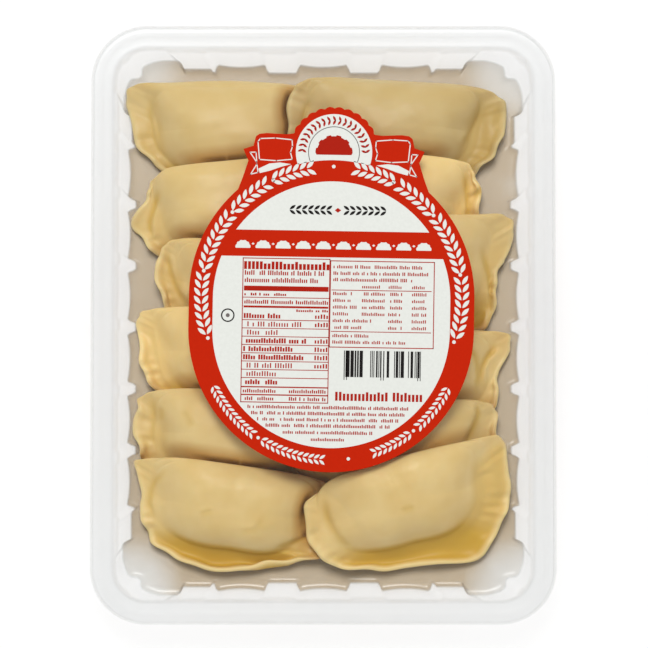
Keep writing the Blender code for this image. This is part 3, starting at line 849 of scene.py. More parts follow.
# %% [markdown]
# ## Lofted sheets
# Both the tray and the lid are one sheet drawn over a mould, so both are a stack of outlines
# joined ring to ring. The profile down the wall is given by its corners, and each corner is
# then rounded off, as a mould's edges are.

# %% Rounded profiles and outlines
PACK_CORNER = 23.0


def rounded_profile(corners, radius, steps=4):
    """A polyline through corner points, each replaced by a short curve."""
    corners = [np.array(corner, float) for corner in corners]
    profile = [corners[0]]
    for before, corner, after in zip(corners, corners[1:], corners[2:]):
        back = before - corner
        ahead = after - corner
        cut_back = min(radius / np.linalg.norm(back[:3]), 0.45)
        cut_ahead = min(radius / np.linalg.norm(ahead[:3]), 0.45)
        for step in range(steps + 1):
            share = step / steps
            start = corner + back * cut_back
            finish = corner + ahead * cut_ahead
            curve = start * (1 - share) ** 2 + corner * 2 * share * (1 - share) + finish * share ** 2
            profile.append(curve)
    profile.append(corners[-1])
    return profile


def quarter_places(long_steps, corner_steps, short_steps):
    """Places along a quarter: (side, share): side 0 runs along Y, 1 is the corner, 2 along X."""
    places = [(0, share) for share in np.linspace(0.0, 1.0, long_steps + 1)[:-1]]
    places += [(1, share) for share in np.linspace(0.0, 1.0, corner_steps + 1)[:-1]]
    places += [(2, share) for share in np.linspace(1.0, 0.0, short_steps + 1)]
    return places


def outline_point(side, share, half_x, half_y, corner):
    """A point of a rounded rectangle's first quarter, and the way out from it."""
    if side == 0:
        return (half_x, share * (half_y - corner)), (1.0, 0.0)
    if side == 2:
        return (share * (half_x - corner), half_y), (0.0, 1.0)
    angle = math.pi / 2 * share
    way = (math.cos(angle), math.sin(angle))
    return (half_x - corner + corner * way[0], half_y - corner + corner * way[1]), way


def mirrored(quarter):
    """Four quarters of an outline from one, as (x, y, out_x, out_y, side, share)."""
    above = list(quarter)
    above += [(-x, y, -out_x, out_y, side, share) for x, y, out_x, out_y, side, share in reversed(quarter) if x > 0.0]
    below = [(-x, -y, -out_x, -out_y, side, share) for x, y, out_x, out_y, side, share in above if y > 0.0]
    return above + below


def sheet_faces(ring_count, around):
    """Quads between rings, and one flat face inside the last."""
    faces = []
    for ring in range(ring_count - 1):
        for side in range(around):
            after = (side + 1) % around
            near = ring * around
            faces.append((near + side, near + after, near + around + after, near + around + side))
    faces.append(tuple((ring_count - 1) * around + side for side in range(around)))
    return faces


def upright(mesh, up_face):
    """Point every face the way that makes the given face point up or down."""
    shell = bmesh.new()
    shell.from_mesh(mesh)
    bmesh.ops.recalc_face_normals(shell, faces=shell.faces)
    shell.faces.ensure_lookup_table()
    if shell.faces[-1].normal.z * up_face < 0:
        bmesh.ops.reverse_faces(shell, faces=shell.faces)
    shell.to_mesh(mesh)
    shell.free()


def baked(made):
    """Replace an object's mesh by its evaluated one, and take the modifiers off."""
    graph = bpy.context.evaluated_depsgraph_get()
    mesh = bpy.data.meshes.new_from_object(made.evaluated_get(graph))
    made.modifiers.clear()
    made.data = mesh
    return made


print("helpers for formed sheet")

# %% [markdown]
# ## Tray
# The tray's wall is fluted for stiffness: panels stand out between narrow ribs, six along a
# long side and three along a short one, and each corner has two lobes with a notch. The flutes
# are deepest at the foot and fade out below the mouth. They follow a rule, so Geometry Nodes
# push a plain wall outwards, with the panel's sizes as named inputs.

# %% Plain wall of the tray
SHEET = 0.45
LONG_PITCH = 25.7
SHORT_PITCH = 34.3
PANEL = 19.3
RAMP = 1.7
FLAT_BULGE = 1.7
LOBE_BULGE = 5.2
NOTCH_BULGE = 2.6
FLAT_END = 11.5
# Inset from the pack's edge along X and along Y, height, depth share of the flutes, corner radius.
TRAY_PROFILE = [
    (1.2, 1.2, 24.6, 0.0, 21.8),
    (1.2, 1.2, 26.0, 0.0, 21.8),
    (9.0, 9.0, 26.0, 0.0, 14.0),
    (11.1, 10.4, 23.0, 0.2, 12.0),
    (17.3, 16.6, 1.6, 1.0, 12.0),
    (18.5, 17.8, 0.3, 1.0, 12.0),
    (21.5, 20.8, 0.3, 0.2, 12.0),
    (30.0, 30.0, 0.3, 0.0, 8.0),
]


def plain_out(side, share, run):
    """How far the wall stands out beyond its last panel: a flat stretch, then the corner's lobes."""
    if side == 1:
        away = abs(share - 0.5) * 2
        return NOTCH_BULGE + (LOBE_BULGE - NOTCH_BULGE) * float(ease(0.04, 0.30, np.array(away)))
    last = LONG_PITCH * 2.5 if side == 0 else SHORT_PITCH
    start = last + PANEL / 2 + RAMP
    place = share * run
    flat = float(ease(start, start + RAMP, np.array(place)))
    lobe = float(ease(start + FLAT_END + RAMP, start + FLAT_END + 2 * RAMP, np.array(place)))
    return FLAT_BULGE * flat + (LOBE_BULGE - FLAT_BULGE) * lobe


def fine_profile(corners, longest):
    """A rounded profile with extra points, so that no step is longer than a given length."""
    corners = rounded_profile(corners, 1.2)
    profile = [corners[0]]
    for before, after in zip(corners, corners[1:]):
        count = max(1, math.ceil(np.linalg.norm((after - before)[:3]) / longest))
        profile += [before + (after - before) * step / count for step in range(1, count + 1)]
    return profile


half_width = pack_width / 2 / MM
half_length = pack_length / 2 / MM
profile = fine_profile(TRAY_PROFILE, 2.2)
places = quarter_places(112, 26, 76)
points = []
layers = {"flute": [], "along": [], "pitch": [], "shift": [], "plain": [], "floor_shade": []}
outward = []
for inset_x, inset_y, height, flute, corner in profile:
    quarter = []
    for side, share in places:
        (x, y), (out_x, out_y) = outline_point(side, share, half_width - inset_x, half_length - inset_y, corner)
        quarter.append((x, y, out_x, out_y, side, share))
    for x, y, out_x, out_y, side, share in mirrored(quarter):
        run = (half_length - 16.6 - 12.0, 1.0, half_width - 17.3 - 12.0)[side]
        points.append((x * MM, y * MM, height * MM))
        outward.append((out_x, out_y, 0.0))
        layers["flute"].append(flute)
        layers["along"].append(share * run * MM if side != 1 else 1.0)
        layers["pitch"].append((LONG_PITCH, LONG_PITCH, SHORT_PITCH)[side] * MM)
        layers["shift"].append((LONG_PITCH / 2, 0.0, 0.0)[side] * MM)
        layers["plain"].append(plain_out(side, share, run) * MM)
        # The floor value is painted shade on the tray's floor, a little less in the corner lobes.
        corner_gap = math.hypot(abs(x) - half_width + 17.0, abs(y) - half_length + 17.0)
        cleared = 0.3 * float(1.0 - ease(8.0, 24.0, np.array(corner_gap)))
        layers["floor_shade"].append(float(1.0 - ease(1.0, 2.4, np.array(height))) * (1.0 - cleared))
food = KDTree(sum(len(part[0][::7]) for part in laid))
for index, spot in enumerate(np.concatenate([part[0][::7] for part in laid])):
    food.insert((spot[0], spot[1], 0.0), index)
food.balance()
# The painted floor shade is strongest near the food and half as strong far from it.
for index, (x, y, _) in enumerate(points):
    near = 1.0 - ease(2.0, 30.0, np.array(food.find((x, y, 0.0))[2] / MM))
    layers["floor_shade"][index] *= 0.5 + 0.5 * float(near)
around = len(points) // len(profile)
tray = add_mesh("tray_sheet", points, sheet_faces(len(profile), around), plastic)
for name, values in layers.items():
    tray.data.attributes.new(name, "FLOAT", "POINT").data.foreach_set("value", values)
ways = tray.data.attributes.new("outward", "FLOAT_VECTOR", "POINT")
ways.data.foreach_set("vector", np.array(outward).reshape(-1))
upright(tray.data, -1.0)
print("plain tray with", around, "points round it and", len(profile), "rings")

# %% Geometry Nodes that push out the panels
def tree_with_inputs(name, inputs):
    """A Geometry Nodes tree with a geometry input, an output, and named size inputs."""
    made = bpy.data.node_groups.new(name, "GeometryNodeTree")
    made.interface.new_socket("Geometry", in_out="INPUT", socket_type="NodeSocketGeometry")
    made.interface.new_socket("Geometry", in_out="OUTPUT", socket_type="NodeSocketGeometry")
    for label, kind in inputs:
        made.interface.new_socket(label, in_out="INPUT", socket_type=kind)
    return made, made.nodes.new("NodeGroupInput"), made.nodes.new("NodeGroupOutput")


def named(tree, name, kind="FLOAT"):
    """A value stored on the mesh under a name."""
    node = put(tree, "GeometryNodeInputNamedAttribute", data_type=kind)
    node.inputs["Name"].default_value = name
    return node.outputs["Attribute"]


def use_tree(made, tree, values):
    """Put a tree on an object as a modifier, with its inputs set by their identifiers."""
    modifier = made.modifiers.new(tree.name, "NODES")
    modifier.node_group = tree
    for item in tree.interface.items_tree:
        if item.in_out == "INPUT" and item.name in values:
            modifier[item.identifier] = values[item.name]
    return modifier


flutes, given, result = tree_with_inputs("push_out_panels", [
    ("Panel", "NodeSocketFloat"), ("Ramp", "NodeSocketFloat"), ("Bulge", "NodeSocketFloat"),
    ("Hollow", "NodeSocketFloat"), ("Material", "NodeSocketMaterial")])
pitch = named(flutes, "pitch")
along = named(flutes, "along")
half_pitch = maths(flutes, "MULTIPLY", pitch, 0.5)
shifted = maths(flutes, "ADD", maths(flutes, "SUBTRACT", along, named(flutes, "shift")), half_pitch)
away = maths(flutes, "ABSOLUTE", maths(flutes, "SUBTRACT", maths(flutes, "FLOORED_MODULO", shifted, pitch), half_pitch))
half_panel = maths(flutes, "MULTIPLY", given.outputs["Panel"], 0.5)
outer = maths(flutes, "ADD", half_panel, given.outputs["Ramp"])
mask = put(flutes, "ShaderNodeMapRange", away, half_panel, outer, 1.0, 0.0, interpolation_type="SMOOTHSTEP")
in_middle = maths(flutes, "SUBTRACT", 1.0, maths(flutes, "POWER", maths(flutes, "DIVIDE", away, half_panel), 2.0))
sag = maths(flutes, "MULTIPLY", given.outputs["Hollow"], maths(flutes, "MAXIMUM", in_middle, 0.0))
panel_out = maths(flutes, "MULTIPLY", mask, maths(flutes, "SUBTRACT", given.outputs["Bulge"], sag))
bare = maths(flutes, "LESS_THAN", named(flutes, "plain"), 0.00001)
total = maths(flutes, "ADD", named(flutes, "plain"), maths(flutes, "MULTIPLY", panel_out, bare))
offset = put(flutes, "ShaderNodeVectorMath", named(flutes, "outward", "FLOAT_VECTOR"), operation="SCALE")
wire(flutes, offset.inputs["Scale"], maths(flutes, "MULTIPLY", total, named(flutes, "flute")))
moved = put(flutes, "GeometryNodeSetPosition", given.outputs["Geometry"])
wire(flutes, moved.inputs["Offset"], offset)
whole = put(flutes, "GeometryNodeRealizeInstances", moved)
painted = put(flutes, "GeometryNodeSetMaterial", whole, None, given.outputs["Material"])
wire(flutes, result.inputs["Geometry"], painted)
use_tree(tray, flutes, {"Panel": PANEL * MM, "Ramp": RAMP * MM, "Bulge": 3.4 * MM, "Hollow": 1.0 * MM,
                        "Material": plastic})
shell = tray.modifiers.new("Sheet", "SOLIDIFY")
shell.thickness = SHEET * MM
shell.offset = 0.0
baked(tray)
tray.data.shade_smooth()
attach(tray, "root")
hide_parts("tray")
print("tray", len(tray.data.polygons), "faces")

# %% [markdown]
# ## Lid
# The lid snaps over the tray's flange. Its skirt hides the flange's edge, a small bead runs
# round the rim to stiffen it, and a low dome keeps it clear of the food. Its outline is a plain
# rounded rectangle all the way up, so a loft with points only round the corners is enough.

# %% Lid
LID_PROFILE = [
    (0.9, 20.2), (0.3, 20.5), (0.3, 26.2), (1.1, 27.0), (3.3, 27.0), (4.3, 27.95), (5.3, 27.0),
    (8.8, 27.0), (10.4, 33.8), (11.6, 35.0), (13.6, 35.0),
]
points = []
profile = rounded_profile([(inset, inset, height) for inset, height in LID_PROFILE], 0.7)
places = quarter_places(6, 36, 5)
for inset, _, height in profile:
    corner = PACK_CORNER - inset
    quarter = []
    for side, share in places:
        (x, y), (out_x, out_y) = outline_point(side, share, half_width - inset, half_length - inset, corner)
        quarter.append((x, y, out_x, out_y, side, share))
    points += [(x * MM, y * MM, height * MM) for x, y, *_ in mirrored(quarter)]
around = len(points) // len(profile)
lid = add_mesh("lid_sheet", points, sheet_faces(len(profile), around), plastic)
upright(lid.data, 1.0)
shell = lid.modifiers.new("Sheet", "SOLIDIFY")
shell.thickness = SHEET * MM
shell.offset = 0.0
baked(lid)
lid.data.shade_smooth()
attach(lid, "root")
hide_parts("lid")
print("lid", len(lid.data.polygons), "faces")

# %% [markdown]
# ## Label
# The label is a die-cut sticker on the lid: a long round body, a scalloped badge above it, and
# a ribbon tail to either side. The card is red, and everything else is printed on it. Print has
# no depth to speak of, but a thin raised layer for each ink keeps its edge crisp at any
# distance and survives an export without pictures. The motifs are plain ones: wheat ears, half
# moons, ruled tables and rows of short strokes where small type would be.

# %% Label places and inks
LABEL_MIDDLE = (3.3, 4.0)
LABEL_TURN = math.radians(-0.95)
LABEL_RADIUS = 58.2
HALF_STRAIGHT = 6.7
BADGE_RISE = 65.8
BADGE_RADIUS = 18.6
LAYER = 0.05
SINK = 0.02
card_top = label_high.z / MM - 3 * LAYER


def on_label(x, y, height):
    """A point given on the label, in mm from its middle, as a place in the pack."""
    cosine = math.cos(LABEL_TURN)
    sine = math.sin(LABEL_TURN)
    turned = (LABEL_MIDDLE[0] + x * cosine - y * sine, LABEL_MIDDLE[1] + x * sine + y * cosine)
    return turned[0] * MM, turned[1] * MM, height * MM


def arc(x, y, radius, start, end, steps):
    """Points along a circle, angles in degrees."""
    angles = np.radians(np.linspace(start, end, steps + 1))
    return [(x + radius * math.cos(angle), y + radius * math.sin(angle)) for angle in angles]


def printed(name, outlines, bottom, top, material):
    """Flat closed shapes between two heights, from outlines on the label."""
    points = []
    faces = []
    for outline in outlines:
        area = sum(ax * by - bx * ay for (ax, ay), (bx, by) in zip(outline, outline[1:] + outline[:1]))
        outline = outline if area > 0 else outline[::-1]
        first = len(points)
        count = len(outline)
        points += [on_label(x, y, top) for x, y in outline]
        points += [on_label(x, y, bottom) for x, y in outline]
        faces.append(tuple(range(first, first + count)))
        faces.append(tuple(range(first + 2 * count - 1, first + count - 1, -1)))
        for index in range(count):
            after = (index + 1) % count
            faces.append((first + after, first + index, first + count + index, first + count + after))
    made = add_mesh(name, points, faces, material)
    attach(made, "root")
    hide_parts("label")
    return made


def ink_material(name, colour, roughness):
    """Ink or coated card: one colour, with the faint unevenness of print on paper."""
    made, tree, shader = new_material(name, roughness)
    place = put(tree, "ShaderNodeTexCoord").outputs["Object"]
    speckle = add_grain(tree, shader, place, 900.0, 0.04, 0.0001)
    darker = tuple(value * 0.95 for value in colour[:3]) + (1.0,)
    wire(tree, shader.inputs["Base Color"], mix_colours(tree, speckle, darker, colour))
    shader.inputs["Specular IOR Level"].default_value = 0.03
    return made


card_red = ink_material("label_red_card", tone(192, 34, 0), 0.5)
print_white = ink_material("label_white", tone(226, 228, 222), 0.5)
print_red = ink_material("label_red_ink", tone(170, 30, 14), 0.5)
print_black = ink_material("label_black_ink", tone(30, 27, 27), 0.5)
print_grey = ink_material("label_grey_ink", tone(112, 104, 102), 0.5)
print("five inks")

# %% [markdown]
# ## Card outline
# The body is two half circles joined by a short straight. The ribbon tails are a few straight
# cuts, and the badge's edge is a circle that dips in between its scallops.

# %% Card
RIBBON = [(37.2, 54.6), (34.9, 61.8), (37.0, 66.5), (32.9, 67.9), (32.0, 71.7), (30.6, 72.8), (27.5, 73.2),
          (19.5, 72.8)]
SCALLOPS = 28


def scalloped(start, end, radius, depth, steps):
    """Part of the badge's edge."""
    points = []
    for angle in np.linspace(start, end, steps + 1):
        wave = abs(math.sin(math.radians(angle) * SCALLOPS / 2))
        reach = radius - depth * (1 - wave)
        points.append((reach * math.cos(math.radians(angle)), BADGE_RISE + reach * math.sin(math.radians(angle))))
    return points


outline = arc(0.0, -HALF_STRAIGHT, LABEL_RADIUS, -180, 0, 120)
outline += arc(0.0, HALF_STRAIGHT, LABEL_RADIUS, 0, 48, 36)
outline += RIBBON
outline += scalloped(24, 156, BADGE_RADIUS, 0.7, 220)
outline += [(-x, y) for x, y in reversed(RIBBON)]
outline += arc(0.0, HALF_STRAIGHT, LABEL_RADIUS, 132, 180, 36)[:-1]
card = printed("label_card", [outline], label_low.z / MM, card_top, card_red)
print("card outline has", len(outline), "points")

# %% [markdown]
# ## White fields
# White covers the middle of the body, above and below a red cross band, the round window in
# the badge, and the thin outlines and the fold on each ribbon.

# %% White shapes
FIELD_RADIUS = 48.4
FIELD_UP = 5.4
BAND_TOP = 33.5
BAND_BOTTOM = 22.7
WINDOW_RADIUS = 15.6
BODY_EDGE = 55.8


def line_strip(points, width):
    """A thin line through points, as one quad for each stretch, with square joints."""
    quads = []
    for (ax, ay), (bx, by) in zip(points, points[1:]):
        length = math.hypot(bx - ax, by - ay)
        way_x = (bx - ax) / length * width / 2
        way_y = (by - ay) / length * width / 2
        quads.append([(ax - way_x + way_y, ay - way_y - way_x), (bx + way_x + way_y, by + way_y - way_x),
                      (bx + way_x - way_y, by + way_y + way_x), (ax - way_x - way_y, ay - way_y + way_x)])
    return quads


def both_sides(shapes):
    """Each shape and its mirror image across the label's long middle."""
    return shapes + [[(-x, y) for x, y in shape] for shape in shapes]


top_angle = math.degrees(math.asin((BAND_TOP - FIELD_UP) / FIELD_RADIUS))
low_angle = math.degrees(math.asin((BAND_BOTTOM - FIELD_UP) / FIELD_RADIUS))
upper_field = arc(0.0, FIELD_UP, FIELD_RADIUS, top_angle, 180 - top_angle, 60)
lower_field = arc(0.0, -HALF_STRAIGHT, FIELD_RADIUS, -180, 0, 90)
lower_field += arc(0.0, FIELD_UP, FIELD_RADIUS, 0, low_angle, 12)
lower_field += arc(0.0, FIELD_UP, FIELD_RADIUS, 180 - low_angle, 180, 12)
window = arc(0.0, BADGE_RISE, WINDOW_RADIUS, -19.7, 199.7, 72) + arc(0.0, HALF_STRAIGHT, BODY_EDGE, 105.3, 74.7, 14)[1:-1]
block = [(17.2, 70.6), (24.0, 71.2), (30.2, 70.9), (31.1, 69.6), (30.4, 62.3), (23.5, 61.9), (17.0, 62.6),
         (17.8, 65.4), (17.0, 67.8), (17.2, 70.6)]
fold = [(17.4, 60.6), (22.0, 61.2), (26.4, 60.7), (30.8, 58.5), (30.2, 56.7), (26.0, 57.8), (21.6, 59.4)]
upper_tail = [(34.3, 65.2), (31.8, 65.3), (31.5, 61.2), (34.3, 65.2)]
lower_tail = [(33.9, 56.2), (31.4, 60.4), (30.9, 57.0), (33.9, 56.2)]
white = [upper_field, lower_field, window] + both_sides([fold])
for strip in (block, upper_tail, lower_tail):
    white += both_sides(line_strip(strip, 0.42))
printed("label_white_fields", white, card_top - SINK, card_top + LAYER, print_white)
print(len(white), "white shapes")

# %% [markdown]
# ## Rows of strokes
# Small type is stood for by rows of short upright strokes. A tree lays strokes along every row
# at an even pitch, leaves some out to part the words, and makes some shorter. The rows are
# edges of a helper mesh that carries each row's height and weight. The field of dark bars is
# the same tree with full-height strokes that touch.

# %% Geometry Nodes for rows of strokes
strokes, given, result = tree_with_inputs("rows_of_strokes", [
    ("Thickness", "NodeSocketFloat"), ("Seed", "NodeSocketInt"), ("Material", "NodeSocketMaterial")])
rows = put(strokes, "GeometryNodeMeshToCurve", given.outputs["Geometry"])
spaced = put(strokes, "GeometryNodeResampleCurve", rows, mode="LENGTH")
wire(strokes, spaced.inputs["Length"], named(strokes, "pitch"))
along = put(strokes, "GeometryNodeCurveToPoints", spaced, mode="EVALUATED")
skip = put(strokes, "FunctionNodeRandomValue", data_type="FLOAT")
wire(strokes, skip.inputs["Seed"], given.outputs["Seed"])
is_gap = maths(strokes, "LESS_THAN", skip.outputs[1], named(strokes, "gaps"))
kept = put(strokes, "GeometryNodeDeleteGeometry", along, is_gap, domain="POINT")
size = put(strokes, "FunctionNodeRandomValue", data_type="FLOAT")
wire(strokes, size.inputs["Seed"], maths(strokes, "ADD", given.outputs["Seed"], 7.0))
short = maths(strokes, "MULTIPLY", maths(strokes, "LESS_THAN", size.outputs[1], 0.55), named(strokes, "uneven"))
tall = maths(strokes, "MULTIPLY", named(strokes, "tall"), maths(strokes, "SUBTRACT", 1.0, short))
scale = put(strokes, "ShaderNodeCombineXYZ", named(strokes, "wide"), tall, given.outputs["Thickness"])
drop = maths(strokes, "MULTIPLY", maths(strokes, "SUBTRACT", tall, named(strokes, "tall")), 0.5)
lowered = put(strokes, "GeometryNodeSetPosition", kept)
wire(strokes, lowered.inputs["Offset"], put(strokes, "ShaderNodeCombineXYZ", 0.0, drop, 0.0))
box = put(strokes, "GeometryNodeMeshCube", (1.0, 1.0, 1.0))
placed = put(strokes, "GeometryNodeInstanceOnPoints", lowered)
wire(strokes, placed.inputs["Instance"], box)
wire(strokes, placed.inputs["Scale"], scale)
whole = put(strokes, "GeometryNodeRealizeInstances", placed)
wire(strokes, result.inputs["Geometry"], put(strokes, "GeometryNodeSetMaterial", whole, None, given.outputs["Material"]))


def row_of_type(left, right, middle, tall, weight=0.5, pitch=0.84, gaps=0.13, uneven=0.26):
    """One row: its ends and middle height on the label, and how its strokes look, all in mm."""
    return left, right, middle, tall, weight, pitch, gaps, uneven


def print_rows(name, rows, level, material, seed):
    """Turn rows into strokes on the label."""
    mesh = bpy.data.meshes.new(name)
    points = []
    for left, right, middle, *_ in rows:
        points += [(left * MM, middle * MM, 0.0), (right * MM, middle * MM, 0.0)]
    mesh.from_pydata(points, [(2 * index, 2 * index + 1) for index in range(len(rows))], [])
    for column, label in ((3, "tall"), (4, "wide"), (5, "pitch")):
        values = [row[column] * MM for row in rows for _ in range(2)]
        mesh.attributes.new(label, "FLOAT", "POINT").data.foreach_set("value", values)
    for column, label in ((6, "gaps"), (7, "uneven")):
        values = [row[column] for row in rows for _ in range(2)]
        mesh.attributes.new(label, "FLOAT", "POINT").data.foreach_set("value", values)
    made = bpy.data.objects.new(name, mesh)
    scene.collection.objects.link(made)
    use_tree(made, strokes, {"Thickness": (LAYER + SINK) * MM, "Seed": seed, "Material": material})
    return lay_on_label(baked(made), level)


def lay_on_label(made, level):
    """Move a mesh made flat round the label's middle to its place on the label."""
    middle = level + (LAYER - SINK) / 2
    for point in made.data.vertices:
        point.co = on_label(point.co.x / MM, point.co.y / MM, middle + point.co.z / MM)
    made.data.update()
    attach(made, "root")
    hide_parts("label")
    return made


print("stroke tree has", len(strokes.nodes), "nodes")

# %% [markdown]
# ## Tables
# Two ruled tables fill the lower field. Their frames, rules and bars are thin boxes, and rows
# of strokes stand between the rules. Under them are a line of heavy strokes, six finer centred
# rows, and the field of dark bars.

# %% Ruled tables
LEFT_TABLE = (-36.3, -0.9, -36.8, 21.9)
RIGHT_TABLE = (-0.6, 41.7, -13.9, 21.3)
RULE = 0.30
ROW_PITCH = 3.37


def bar(left, right, middle, tall):
    """A flat box across the label."""
    return [(left, middle - tall / 2), (right, middle - tall / 2), (right, middle + tall / 2), (left, middle + tall / 2)]


def frame_lines(left, right, low, high):
    """A thin frame round a table."""
    return line_strip([(left, low), (right, low), (right, high), (left, high), (left, low)], 0.36)


left, right, low, high = LEFT_TABLE
rules = frame_lines(*LEFT_TABLE) + frame_lines(*RIGHT_TABLE)
rules += [bar(left + 0.5, right - 0.4, 9.6, 2.0), bar(left + 0.5, right - 0.4, 2.1, 0.8), bar(left, right, 5.9, RULE)]
rules += [bar(left, right, -3.3 - ROW_PITCH * row, RULE) for row in range(8)]
rules += [bar(left, right, -30.6, 0.5), bar(left, right, -33.8, 0.5)]
rules += [bar(RIGHT_TABLE[0] + 0.5, RIGHT_TABLE[1] - 1.0, place, RULE) for place in (9.4, -7.5)]
printed("label_rules", rules, card_top + LAYER - SINK, card_top + 2 * LAYER, print_red)

type_rows = [row_of_type(left + 1.0, right - 0.8, 19.0, 3.2, 1.15, 1.6, 0.04)]
type_rows += [row_of_type(left + 1.0, -3.5, 16.0, 1.9), row_of_type(left + 1.0, -6.0, 13.0, 1.9)]
type_rows += [row_of_type(left + 1.0, -18.0, 7.2, 1.1, 0.6), row_of_type(left + 1.0, right - 0.8, 4.1, 1.6)]
type_rows += [row_of_type(-14.0, right - 0.8, 0.7, 1.0, 0.6)]
LINE_ENDS = (-19.0, -12.5, -21.0, -10.5, -16.0, -11.5, -16.0, -22.5, -22.0)
for row, end in enumerate(LINE_ENDS):
    middle = -1.6 - ROW_PITCH * row
    heavy = row in (0, 3, 4, 5, 8)
    inset = 1.0 if heavy else 2.4
    type_rows.append(row_of_type(left + inset, end, middle, 2.0, 0.74 if heavy else 0.5, 1.02))
    if row not in (2, 7, 8):
        type_rows.append(row_of_type(right - 5.4, right - 0.8, middle, 1.8, 0.62, 1.05, 0.0))
for middle in (-32.2, -35.3):
    type_rows += [row_of_type(left + 1.0, -22.5, middle, 1.5), row_of_type(-16.5, right - 1.2, middle, 1.5)]
for middle, end in ((19.0, 36.5), (16.3, 39.0), (13.7, 32.5)):
    type_rows.append(row_of_type(0.8, end, middle, 1.4, 0.42, 0.72))
for start, end in ((12.6, 19.4), (23.4, 28.2), (33.0, 37.6)):
    type_rows.append(row_of_type(start, end, 10.9, 1.3, 0.42, 0.72, 0.0))
for row, end in enumerate((8.0, 7.5, 10.0, 6.5, 16.0, 12.0)):
    middle = 8.0 - 2.76 * row
    type_rows.append(row_of_type(0.8, end, middle, 1.3, 0.42, 0.72))
    if row < 4:
        type_rows.append(row_of_type(12.6, 21.4, middle, 1.3, 0.42, 0.72))
    type_rows += [row_of_type(23.4, 28.5, middle, 1.3, 0.42, 0.72), row_of_type(33.0, 38.4, middle, 1.3, 0.42, 0.72)]
type_rows += [row_of_type(0.8, 15.0, -9.2, 1.3, 0.42, 0.72), row_of_type(0.8, 30.0, -11.8, 1.3, 0.42, 0.72)]
type_rows.append(row_of_type(2.6, 37.0, -33.9, 3.6, 1.0, 1.55, 0.14, 0.2))
for middle, half in ((-38.6, 32.5), (-41.1, 31.0), (-43.6, 28.5), (-46.1, 25.0), (-48.8, 18.0), (-51.6, 6.5)):
    type_rows.append(row_of_type(-0.8 - half, -0.8 + half, middle, 1.35, 0.44, 0.72, 0.12))
print_rows("label_red_rows", type_rows, card_top + LAYER, print_red, 3)
print(len(rules), "rules and", len(type_rows), "rows")

# %% Field of dark bars
dark_rows = [row_of_type(5.6, 36.8, -20.6, 10.8, 0.34, 0.335, 0.50, 0.0)]
for start in (5.6, 20.6, 35.6):
    dark_rows.append(row_of_type(start, start + 1.0, -21.2, 12.0, 0.30, 0.66, 0.0, 0.0))
print_rows("label_bar_field", dark_rows, card_top + LAYER, print_black, 11)
print("bar field laid")

# %% [markdown]
# ## Wheat garland
# Ears of wheat run round the red ring. One tree plants a pair of pointed leaves at every step
# along a path, tilted away from it to either side. It draws the ring's garland in white, the
# sprig above the band in black, and the petals in the badge in red, each with sizes of its own.

# %% Geometry Nodes for pairs of leaves along a path
garland, given, result = tree_with_inputs("leaf_pairs", [
    ("Step", "NodeSocketFloat"), ("Leaf length", "NodeSocketFloat"), ("Leaf width", "NodeSocketFloat"),
    ("Spread", "NodeSocketFloat"), ("Tilt", "NodeSocketFloat"), ("Thickness", "NodeSocketFloat"),
    ("Material", "NodeSocketMaterial")])
circle = put(garland, "GeometryNodeMeshCircle", fill_type="NGON")
circle.inputs["Vertices"].default_value = 16
circle.inputs["Radius"].default_value = 1.0
spot = put(garland, "ShaderNodeSeparateXYZ", put(garland, "GeometryNodeInputPosition"))
pinch = maths(garland, "SQRT", maths(garland, "SUBTRACT", 1.001, maths(garland, "POWER", spot.outputs["X"], 2.0)))
leaf_x = maths(garland, "MULTIPLY", spot.outputs["X"], maths(garland, "MULTIPLY", given.outputs["Leaf length"], 0.5))
half_leaf = maths(garland, "MULTIPLY", given.outputs["Leaf width"], 0.5)
leaf_y = maths(garland, "MULTIPLY", maths(garland, "MULTIPLY", spot.outputs["Y"], pinch), half_leaf)
leaf_z = maths(garland, "MULTIPLY", given.outputs["Thickness"], -0.5)
leaf = put(garland, "GeometryNodeSetPosition", circle)
wire(garland, leaf.inputs["Position"], put(garland, "ShaderNodeCombineXYZ", leaf_x, leaf_y, leaf_z))
raised = put(garland, "GeometryNodeExtrudeMesh", leaf, mode="FACES")
wire(garland, raised.inputs["Offset"], (0.0, 0.0, 1.0))
wire(garland, raised.inputs["Offset Scale"], given.outputs["Thickness"])
under = put(garland, "GeometryNodeFlipFaces", leaf)
closed = put(garland, "GeometryNodeJoinGeometry")
garland.links.new(raised.outputs["Mesh"], closed.inputs["Geometry"])
garland.links.new(under.outputs[0], closed.inputs["Geometry"])
solid = put(garland, "GeometryNodeMergeByDistance", closed)
solid.inputs["Distance"].default_value = 0.000001
path = put(garland, "GeometryNodeMeshToCurve", given.outputs["Geometry"])
steps = put(garland, "GeometryNodeResampleCurve", path, mode="LENGTH")
wire(garland, steps.inputs["Length"], given.outputs["Step"])
tangent = put(garland, "ShaderNodeSeparateXYZ", put(garland, "GeometryNodeInputTangent"))
course = maths(garland, "ARCTAN2", tangent.outputs["Y"], tangent.outputs["X"])
pairs = put(garland, "GeometryNodeJoinGeometry")
